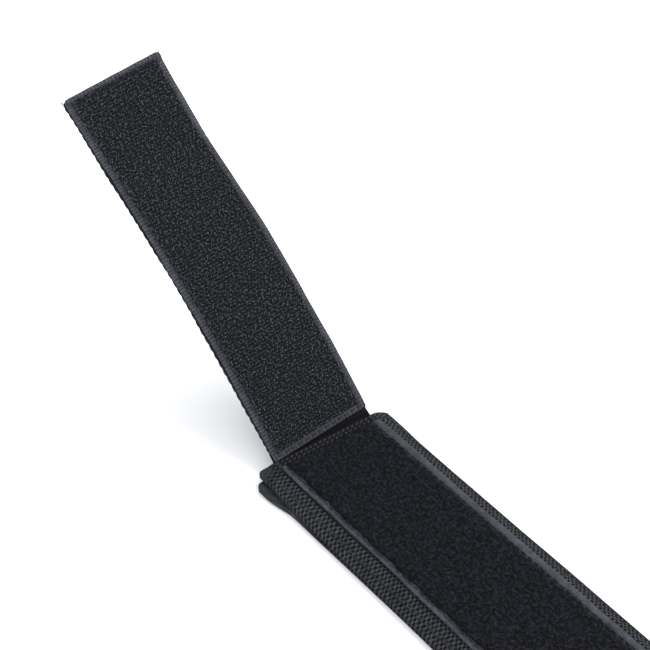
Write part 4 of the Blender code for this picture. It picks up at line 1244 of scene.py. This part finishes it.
    def fray(self):
        """Loose ends of weft at the two corners of the tip."""
        rng = np.random.default_rng(17)
        verts, faces = [], []
        for side in (-1, 1):
            for _ in range(16):
                start = TAB_LENGTH - rng.uniform(0.1, 1.6) * MM
                point, up = tab_frame(start, rng.uniform(-0.6, 1.2) * MM)
                point = point + np.array([0.0, side * (TAPE_HALF - 0.2 * MM), 0.0])
                before, _ = tab_frame(start - 1 * MM)
                after, _ = tab_frame(start)
                ahead = (after - before) / np.linalg.norm(after - before)
                out = ahead * rng.uniform(-0.2, 1.0) + np.array([0.0, side, 0.0]) * rng.uniform(0.2, 0.9)
                out = out + up * rng.uniform(-0.5, 0.6)
                curl = rng.normal(0.0, 0.35, 3)
                reach = rng.uniform(0.6, 1.5) * MM
                ring_x = np.cross(out, up)
                ring_x /= np.linalg.norm(ring_x)
                ring_y = np.cross(out, ring_x) / np.linalg.norm(out)
                base = len(verts)
                for step in range(4):
                    t = step / 3
                    centre = point + (out * t + curl * t * t) * reach
                    for turn in (0.0, math.tau / 3, 2 * math.tau / 3):
                        spoke = ring_x * math.cos(turn) + ring_y * math.sin(turn)
                        verts.append(tuple(centre + spoke * 0.07 * MM * (1.0 - 0.5 * t)))
                for step in range(3):
                    for k in range(3):
                        a, b = base + step * 3 + k, base + step * 3 + (k + 1) % 3
                        faces.append((a, b, b + 3, a + 3))
                faces.append((base + 2, base + 1, base))
                faces.append((base + 9, base + 10, base + 11))
        piece = make_piece("tab_fray", verts, faces, "webbing weave", np.array(verts))
        outward(piece)
        bend_with_tab(piece, ("tab_webbing",))


def outward(piece):
    """Turns every face of a closed piece outwards."""
    bm = bmesh.new()
    bm.from_mesh(piece.data)
    bmesh.ops.recalc_face_normals(bm, faces=bm.faces)
    bm.to_mesh(piece.data)
    bm.free()


# ---------------------------------------------------------------- sewing
def straight(start, end, count=12):
    return [tuple(Vector(start).lerp(Vector(end), i / (count - 1))) for i in range(count)]


class TOURNIQUET_OT_stitching(bpy.types.Operator):
    """Sew every seam: margins, tapes, mouth, window, tab, closure and the buckle's strap"""

    bl_idname = "tourniquet.stitching"
    bl_label = "Stitching"

    def execute(self, context):
        for name in ("edge_seam_left", "edge_seam_right", "loop_seam_left", "loop_seam_right"):
            a, b = box_of(name)
            y = (a[1] + b[1]) / 2
            z = a[2] - 0.10 * MM
            y -= 1.2 * MM if name == "loop_seam_left" else 0.0
            x0 = a[0] + 1.5 * MM + MOUTH_SLANT * y
            line = straight((x0, y, z), (b[0], y, z), 60)
            belongs(sew(name + "_thread", line, UP), (name,))
        for name in ("mouth_stitch_1", "mouth_stitch_2"):
            a, b = box_of(name)
            x, z = (a[0] + b[0]) / 2, a[2] - 0.08 * MM
            line = [(x - 0.9 * MM + MOUTH_SLANT * y, y, z) for y in np.linspace(a[1] + 0.5 * MM, b[1], 24)]
            piece = sew(name + "_thread", line, UP, 1.75 * MM, 1.55 * MM, 0.55, "mouth thread", 0.66 * MM)
            belongs(piece, (name,))
        for name in ("window_bartack_front", "window_bartack_rear"):
            a, b = box_of(name)
            x = (a[0] + b[0]) / 2
            z = a[2] - 0.05 * MM
            line = straight((x, a[1], z), (x, b[1], z), 30)
            piece = sew(name + "_thread", line, UP, 0.62 * MM, b[0] - a[0], math.pi / 2 - 0.12)
            belongs(piece, (name,))
        a, b = box_of("closure_anchor_stitch")
        line = straight((a[0], a[1] + 0.3 * MM, a[2] - 0.1 * MM), (b[0], a[1] + 0.3 * MM, a[2] - 0.1 * MM))
        piece = sew("closure_anchor_thread", line, UP)
        belongs(piece, ("closure_anchor_stitch",))
        a, b = box_of("buckle_box_stitch")
        z = a[2] - 0.1 * MM
        ring = [(a[0], a[1], z), (b[0], a[1], z), (b[0], b[1], z), (a[0], b[1], z)]
        ring += [ring[0], ring[2]]
        line = [p for one, two in zip(ring, ring[1:]) for p in straight(one, two, 10)[:-1]] + [ring[-1]]
        piece = sew("buckle_box_thread", line, UP, 2.0 * MM, 1.6 * MM)
        belongs(piece, ("buckle_box_stitch",))
        self.tab_seams()
        return {"FINISHED"}

    def tab_seams(self):
        y = (box_of("hook_seam_right")[0][1] + box_of("hook_seam_right")[1][1]) / 2
        for name, side in (("hook_seam_left", -1), ("hook_seam_right", 1)):
            along = np.linspace(5.5 * MM, 137.5 * MM, 150)
            points, ups = tab_frame(along, 2.0 * MM)
            points[:, 1] = side * (y + 0.10 * MM * drift(along, 51 + side, 0.03))
            piece = sew(name + "_thread", points, ups, 2.9 * MM, 2.1 * MM)
            bend_with_tab(piece, (name,))
        for name, along in (("hook_seam_root", 3.9 * MM), ("hook_seam_tip", 137.2 * MM)):
            point, up = tab_frame(along, 1.66 * MM)
            line = [point + np.array([0.0, v, 0.0]) for v in np.linspace(-y, y, 20)]
            piece = sew(name + "_thread", line, up, 2.6 * MM, 1.9 * MM)
            bend_with_tab(piece, (name,))


# ---------------------------------------------------------------- tension strap
class TOURNIQUET_OT_tension_strap(bpy.types.Operator):
    """Make the tension strap: its length in the sleeve, its bight through the rod and its buckle fold"""

    bl_idname = "tourniquet.tension_strap"
    bl_label = "Tension Strap"

    def execute(self, context):
        rows = columns(STRAP_HALF, STRAP_HALF - 1.2 * MM, 0.4 * MM, 0.9 * MM, 0.4 * MM)
        a, b = box_of("tension_strap_front")
        spine = flat_spine(np.linspace(a[0], b[0], 260))
        middle = (a[2] + b[2]) / 2
        front = strap_piece("tension_strap_inner", spine, STRAP_HALF, middle, STRAP_T, "webbing weave", rows)
        belongs(front, ("tension_strap_front",))
        spine = plane_spine(self.rear_path(), step=0.6 * MM)
        rear = strap_piece("tension_strap_fold", spine, STRAP_HALF, 0.0, STRAP_T, "webbing weave", rows)
        belongs(rear, ("tension_strap_rear",))
        self.bight(rows)
        return {"FINISHED"}

    def rear_path(self):
        """From the window to the buckle's bar, round it and back beneath, as the frame has it."""
        bar_x, _, bar_z = JOINTS["buckle_pivot"]
        turn = high("tension_strap_rear").z - bar_z - STRAP_T / 2
        fold = STRAP_T * 1.5 + 0.3 * MM
        path = [(low("tension_strap_rear").x, STRAP_MID), (PLATE_END, STRAP_MID), (PLATE_END + 3 * MM, fold)]
        path += [(PLATE_END + 14 * MM, fold), (bar_x - 2 * turn, bar_z + turn - STRAP_T / 4)]
        for step in range(17):
            angle = math.pi / 2 - math.pi * step / 16
            path.append((bar_x + turn * math.cos(angle), bar_z + turn * math.sin(angle)))
        path.append((PLATE_END + 3 * MM, STRAP_T / 2))
        return path

    def bight(self, rows):
        """The two halves that rise from the window, twist a quarter turn and meet in the rod's slot."""
        start = np.array([low("tension_bight").x, 0.0, STRAP_MID])
        lead = start + np.array([10.0, 0.0, 0.0]) * MM
        entry = np.array([0.0, low("windlass_rod").y - 0.4 * MM, ROD_Z])
        swing = entry + np.array([0.0, -8.5, -8.0]) * MM
        t = np.linspace(0.0, 1.0, 60)[:, None]
        points = start * (1 - t) ** 3 + lead * 3 * t * (1 - t) ** 2
        points = points + swing * 3 * t * t * (1 - t) + entry * t**3
        turn = math.pi / 2 * ease(t[:, 0], 0.0, 1.0)
        through = np.linspace(entry, (0.0, 0.0, ROD_Z), 14)[1:]
        points = np.concatenate([points, through])
        turn = np.concatenate([turn, np.full(len(through), math.pi / 2)])
        sides = np.stack([-np.sin(turn), np.cos(turn), np.zeros(len(turn))], 1)
        tangents = np.gradient(points, axis=0)
        ups = np.cross(tangents, sides)
        ups /= np.linalg.norm(ups, axis=1)[:, None]
        for name, flip in (("tension_bight_left", 1.0), ("tension_bight_right", -1.0)):
            turned = np.array([flip, flip, 1.0])
            spine = Spine(points * turned, sides * turned, ups * turned)
            piece = strap_piece(name, spine, STRAP_HALF, 0.0, STRAP_T, "webbing weave", rows, sharp=70.0)
            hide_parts("tension_bight")
            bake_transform(piece)


# ---------------------------------------------------------------- moulded parts
def settle(obj):
    """Turns an object with modifiers into a plain mesh."""
    bpy.context.view_layer.update()
    mesh = bpy.data.meshes.new_from_object(obj.evaluated_get(bpy.context.evaluated_depsgraph_get()))
    obj.modifiers.clear()
    old = obj.data
    obj.data = mesh
    bpy.data.meshes.remove(old)
    return obj


def merged(node):
    """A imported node's mesh, sewn up and freed of the edges inside its flat faces."""
    bm = bmesh.new()
    bm.from_mesh(frame["nodes"][node].data)
    bmesh.ops.remove_doubles(bm, verts=bm.verts, dist=1e-6)
    bmesh.ops.dissolve_limit(bm, angle_limit=math.radians(0.5), verts=bm.verts, edges=bm.edges)
    return bm


def moulded(name, node, body, edge):
    """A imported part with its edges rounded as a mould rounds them."""
    bm = merged(node)
    mesh = bpy.data.meshes.new(name)
    bm.to_mesh(mesh)
    bm.free()
    mesh.materials.append(finish("moulded plastic"))
    piece = linked(name, mesh)
    bevel = piece.modifiers.new("edges", "BEVEL")
    bevel.width, bevel.segments = edge, 3
    bevel.limit_method, bevel.angle_limit = "ANGLE", math.radians(30)
    bevel.harden_normals = True
    settle(piece)
    piece.data.shade_smooth()
    piece.data.set_sharp_from_angle(angle=math.radians(40))
    belongs(piece, (node,), body)
    return piece


class TOURNIQUET_OT_windlass(bpy.types.Operator):
    """Make the windlass rod: turned grips, a thicker barrel and a rounded slot for the strap"""

    bl_idname = "tourniquet.windlass"
    bl_label = "Windlass Rod"

    def execute(self, context):
        sizes = context.scene.tourniquet_hardware
        half, radius, barrel = ROD_HALF, 5.0 * MM, high("windlass_rod").y
        side = [(0.0, half), (radius - 2.4 * MM, half)]
        for angle in np.linspace(0.25, 1.0, 5):
            side.append((radius - 2.4 * MM + 2.4 * MM * math.sin(angle * math.pi / 2),
                         half - 3.2 * MM + 3.2 * MM * math.cos(angle * math.pi / 2)))
        for number in range(5):
            x = half - 8 * MM - number * 5 * MM
            for step in np.linspace(-1.0, 1.0, 9):
                depth = 0.6 * MM * (0.5 + 0.5 * math.cos(step * math.pi))
                side.append((radius - depth, x - step * 1.25 * MM))
        for t in np.linspace(0.0, 1.0, 9):
            side.append((radius + (barrel - radius) * float(ease(t, 0.0, 1.0)), 22 * MM - 4 * MM * t))
        side += [(r, -x) for r, x in reversed(side)]
        steps = sizes.rod_steps
        verts = [(side[0][1], 0.0, ROD_Z)]
        rings = side[1:-1]
        for r, x in rings:
            for k in range(steps):
                turn = math.tau * k / steps
                verts.append((x, r * math.cos(turn), ROD_Z + r * math.sin(turn)))
        verts.append((side[-1][1], 0.0, ROD_Z))
        faces = [(0, 1 + (k + 1) % steps, 1 + k) for k in range(steps)]
        for ring in range(len(rings) - 1):
            base = 1 + ring * steps
            for k in range(steps):
                a, b = base + k, base + (k + 1) % steps
                faces.append((a, b, b + steps, a + steps))
        base, tip = 1 + (len(rings) - 1) * steps, len(verts) - 1
        faces += [(tip, base + k, base + (k + 1) % steps) for k in range(steps)]
        rod = make_piece("windlass_rod_turned", verts, faces, "moulded plastic", None, 35.0)
        outward(rod)
        cutter = self.slot_tool(sizes.slot_round)
        bite = rod.modifiers.new("slot", "BOOLEAN")
        bite.operation, bite.solver, bite.object = "DIFFERENCE", "EXACT", cutter
        settle(rod)
        bpy.data.objects.remove(cutter)
        rod.data.shade_smooth()
        rod.data.set_sharp_from_angle(angle=math.radians(35))
        belongs(rod, ("windlass_rod",), "windlass")
        return {"FINISHED"}

    def slot_tool(self, rounding):
        """A long block with round corners, for cutting the strap's slot."""
        half_x, half_z, reach = STRAP_HALF + 0.6 * MM, 1.7 * MM, 0.02
        ring = []
        for cx, cz, start in ((1, 1, 0), (-1, 1, 1), (-1, -1, 2), (1, -1, 3)):
            for step in range(7):
                turn = (start + step / 6) * math.pi / 2
                ring.append((cx * (half_x - rounding) + rounding * math.cos(turn),
                             ROD_Z + cz * (half_z - rounding) + rounding * math.sin(turn)))
        count = len(ring)
        verts = [(x, -reach, z) for x, z in ring] + [(x, reach, z) for x, z in ring]
        faces = [tuple(range(count)), tuple(range(2 * count - 1, count - 1, -1))]
        faces += [(k, (k + 1) % count, count + (k + 1) % count, count + k) for k in range(count)]
        tool = make_piece("slot_tool", verts, faces, "moulded plastic")
        outward(tool)
        return tool


class TOURNIQUET_OT_plate_and_clip(bpy.types.Operator):
    """Make the base plate, the windlass clip and its four rivets"""

    bl_idname = "tourniquet.plate_and_clip"
    bl_label = "Plate and Clip"

    def execute(self, context):
        edge = context.scene.tourniquet_hardware.edge
        moulded("base_plate_moulded", "base_plate", "band", edge * 0.6)
        moulded("windlass_clip_moulded", "windlass_clip", "band", edge)
        names = ["clip_rivet_1", "clip_rivet_2", "clip_rivet_3", "clip_rivet_4"]
        places = [(box_of(name)[0] + box_of(name)[1]) / 2 for name in names]
        base = low(names[0]).z
        mesh = bpy.data.meshes.new("rivet_places")
        mesh.from_pydata([(p[0], p[1], base) for p in places], [], [])
        source = linked("rivet_places", mesh)
        sizes = {"Radius": (high(names[0]).x - low(names[0]).x) / 2, "Rise": high(names[0]).z - base}
        heads = grow("clip_rivet_heads", source, tree("rivets"), "rivet steel", sizes)
        belongs(heads, names)
        return {"FINISHED"}


# ---------------------------------------------------------------- closure strap
class TOURNIQUET_OT_closure(bpy.types.Operator):
    """Make the closure strap that lies open beside the clip, its hook patch, its landing and its label"""

    bl_idname = "tourniquet.closure"
    bl_label = "Closure Strap"

    def execute(self, context):
        first, second = JOINTS["closure_riser_fold"][1], JOINTS["closure_cover_fold"][1]
        a, b = box_of("closure_riser")
        middle = (a[1] + b[1]) / 2
        self.strap("closure_strap_root", low("closure_anchor").y, middle, ("closure_anchor", "closure_riser"),
                   ("band", "closure_riser"), first)
        self.strap("closure_strap_cover", middle, high("closure_cover").y, ("closure_riser", "closure_cover"),
                   ("closure_riser", "closure_cover"), second)
        self.slab("closure_label_blank", "closure_label", "closure_cover", "label cloth", "label_grey", 0.5)
        self.slab(
            "closure_hook_ground", "closure_hook_patch", "closure_cover", "hook ground", "hook_black", 0.45)
        self.slab("closure_landing_pile", "closure_landing", "band", "loop pile", "loop_pile_black", 0.8)
        self.hooks()
        return {"FINISHED"}

    def spine(self, x, y0, y1, z, step=0.5 * MM):
        """A spine along Y at that place, its width along -X."""
        stations = np.linspace(y0, y1, max(4, int((y1 - y0) / step)))
        count = len(stations)
        points = np.stack([np.full(count, x), stations, np.full(count, z)], 1)
        return Spine(points, [(-1, 0, 0)] * count, [(0, 0, 1)] * count, stations)

    def strap(self, name, y0, y1, nodes, bodies, fold):
        a, b = box_of("closure_cover")
        half = (b[0] - a[0]) / 2
        spine = self.spine((a[0] + b[0]) / 2, y0, y1, (a[2] + b[2]) / 2)
        rows = columns(half, half - 1.0 * MM, 0.35 * MM, 0.9 * MM, 0.35 * MM)
        piece = strap_piece(name, spine, half, 0.0, b[2] - a[2], "webbing weave", rows)
        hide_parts(*nodes)
        fold - 1.2 * MM
        fold + 1.2 * MM
        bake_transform(piece)

    def slab(self, name, node, body, look, slot_name, thick):
        a, b = box_of(node)
        half = (b[0] - a[0]) / 2
        height = (b[2] - a[2]) * thick
        z = a[2] + height / 2 if look != "label cloth" else b[2] - height / 2
        spine = self.spine((a[0] + b[0]) / 2, a[1], b[1], z, 0.3 * MM)
        rows = columns(half, half - 0.8 * MM, 0.3 * MM, 0.5 * MM, 0.3 * MM)
        piece = strap_piece(name, spine, half, 0.0, height, look, rows, min(height, 0.3 * MM))
        belongs(piece, (node,), body)

    def hooks(self):
        weave = bpy.context.scene.tourniquet_weave
        a, b = box_of("closure_hook_patch")
        x, z = (a[0] + b[0]) / 2, a[2] + (b[2] - a[2]) * 0.4
        line = straight((x, a[1] + 1 * MM, z), (x, b[1] - 1 * MM, z), 30)
        sizes = {
            "Row": weave.hook_row, "Pitch": weave.hook_pitch, "Half Width": (b[0] - a[0]) / 2 - 0.9 * MM,
            "Height": weave.hook_height * 0.7, "Wire": weave.hook_wire, "Seed": weave.seed + 1,
        }
        source = guide("closure_hook_guide", line, UP)
        hooks = grow("closure_hook_rows", source, tree("hooks"), "hook wire", sizes)
        belongs(hooks, ("closure_hook_patch",), "closure_cover")


class TOURNIQUET_OT_buckle(bpy.types.Operator):
    """Make the moulded routing buckle on the tension strap's fold"""

    bl_idname = "tourniquet.buckle"
    bl_label = "Buckle"

    def execute(self, context):
        moulded("buckle_moulded", "buckle", "buckle", context.scene.tourniquet_hardware.edge * 1.1)
        return {"FINISHED"}


# ---------------------------------------------------------------- the stage
class TOURNIQUET_OT_stage(bpy.types.Operator):
    """Set the pale floor, the soft lights and the camera"""

    bl_idname = "tourniquet.stage"
    bl_label = "Stage"

    def execute(self, context):
        stage = context.scene.tourniquet_stage
        half = stage.floor_size / 2
        z = -0.05 * MM
        verts = [(-half, -half, z), (half, -half, z), (half, half, z), (-half, half, z)]
        floor = make_piece("studio_floor", verts, [(0, 1, 2, 3)], "studio floor")
        world = bpy.data.worlds.new("studio air")
        context.scene.world = world
        world.use_nodes = True
        world.node_tree.nodes["Background"].inputs["Color"].default_value = (1.0, 1.0, 1.0, 1.0)
        world.node_tree.nodes["Background"].inputs["Strength"].default_value = stage.sky
        aim = Vector((MOUTH_X, 0.0, 0.02))
        self.light("key light", aim, Vector((0.15, 0.95, 1.25)), 1.3, stage.key, 0.9)
        self.light("fill light", aim, Vector((0.9, -0.55, 1.1)), 1.5, stage.fill, 1.1)
        context.scene.view_settings.view_transform = "Standard"
        self.camera(stage.lens)
        return {"FINISHED"}

    def light(self, name, aim, direction, distance, power, size):
        data = bpy.data.lights.new(name, "AREA")
        data.shape = "SQUARE"
        data.size = size
        data.energy = power
        lamp = bpy.data.objects.new(name, data)
        lamp.location = aim + direction.normalized() * distance
        lamp.rotation_euler = (-direction).to_track_quat("-Z", "Y").to_euler()
        bpy.context.scene.collection.objects.link(lamp)

    def camera(self, lens):
        data = bpy.data.cameras.new("camera")
        data.lens = lens
        data.sensor_width = 36.0
        data.clip_start = 0.01
        camera = bpy.data.objects.new("camera", data)
        camera.location = (-0.42971, -0.19446, 0.35309)
        camera.rotation_euler = (math.radians(90.0 - 44.25), 0.0, math.radians(50.16))
        bpy.context.scene.collection.objects.link(camera)
        bpy.context.scene.camera = camera


# ---------------------------------------------------------------- the add-on
class TOURNIQUET_PT_panel(bpy.types.Panel):
    """Steps and settings of the tourniquet"""

    bl_idname = "TOURNIQUET_PT_panel"
    bl_label = "Tourniquet"
    bl_space_type = "VIEW_3D"
    bl_region_type = "UI"
    bl_category = "Tourniquet"

    def draw(self, context):
        for name in STEPS:
            self.layout.operator("tourniquet." + name)
        for name in SETTINGS:
            box = self.layout.box()
            group = getattr(context.scene, name)
            for key in group.bl_rna.properties.keys():
                if key not in ("rna_type", "name"):
                    box.prop(group, key)


STEPS = (
    "stage", "sleeve", "loop_tape", "pull_tab", "stitching", "tension_strap",
    "windlass", "plate_and_clip", "closure", "buckle",
)
SETTINGS = {
    "tourniquet_weave": TOURNIQUET_PG_weave,
    "tourniquet_colours": TOURNIQUET_PG_colours,
    "tourniquet_hardware": TOURNIQUET_PG_hardware,
    "tourniquet_stage": TOURNIQUET_PG_stage,
}
OPERATORS = (
    TOURNIQUET_OT_stage, TOURNIQUET_OT_sleeve, TOURNIQUET_OT_loop_tape, TOURNIQUET_OT_pull_tab,
    TOURNIQUET_OT_stitching, TOURNIQUET_OT_tension_strap, TOURNIQUET_OT_windlass,
    TOURNIQUET_OT_plate_and_clip, TOURNIQUET_OT_closure, TOURNIQUET_OT_buckle, TOURNIQUET_PT_panel,
)


def register():
    for group in SETTINGS.values():
        bpy.utils.register_class(group)
    for name, group in SETTINGS.items():
        setattr(bpy.types.Scene, name, PointerProperty(type=group))
    for operator in OPERATORS:
        bpy.utils.register_class(operator)


def unregister():
    for operator in reversed(OPERATORS):
        bpy.utils.unregister_class(operator)
    for name, group in SETTINGS.items():
        delattr(bpy.types.Scene, name)
        bpy.utils.unregister_class(group)


def main():
    register()
    for name in STEPS:
        result = getattr(bpy.ops.tourniquet, name)()
        if result != {"FINISHED"}:
            raise RuntimeError("the step " + name + " did not finish")


if __name__ == "__main__":
    main()
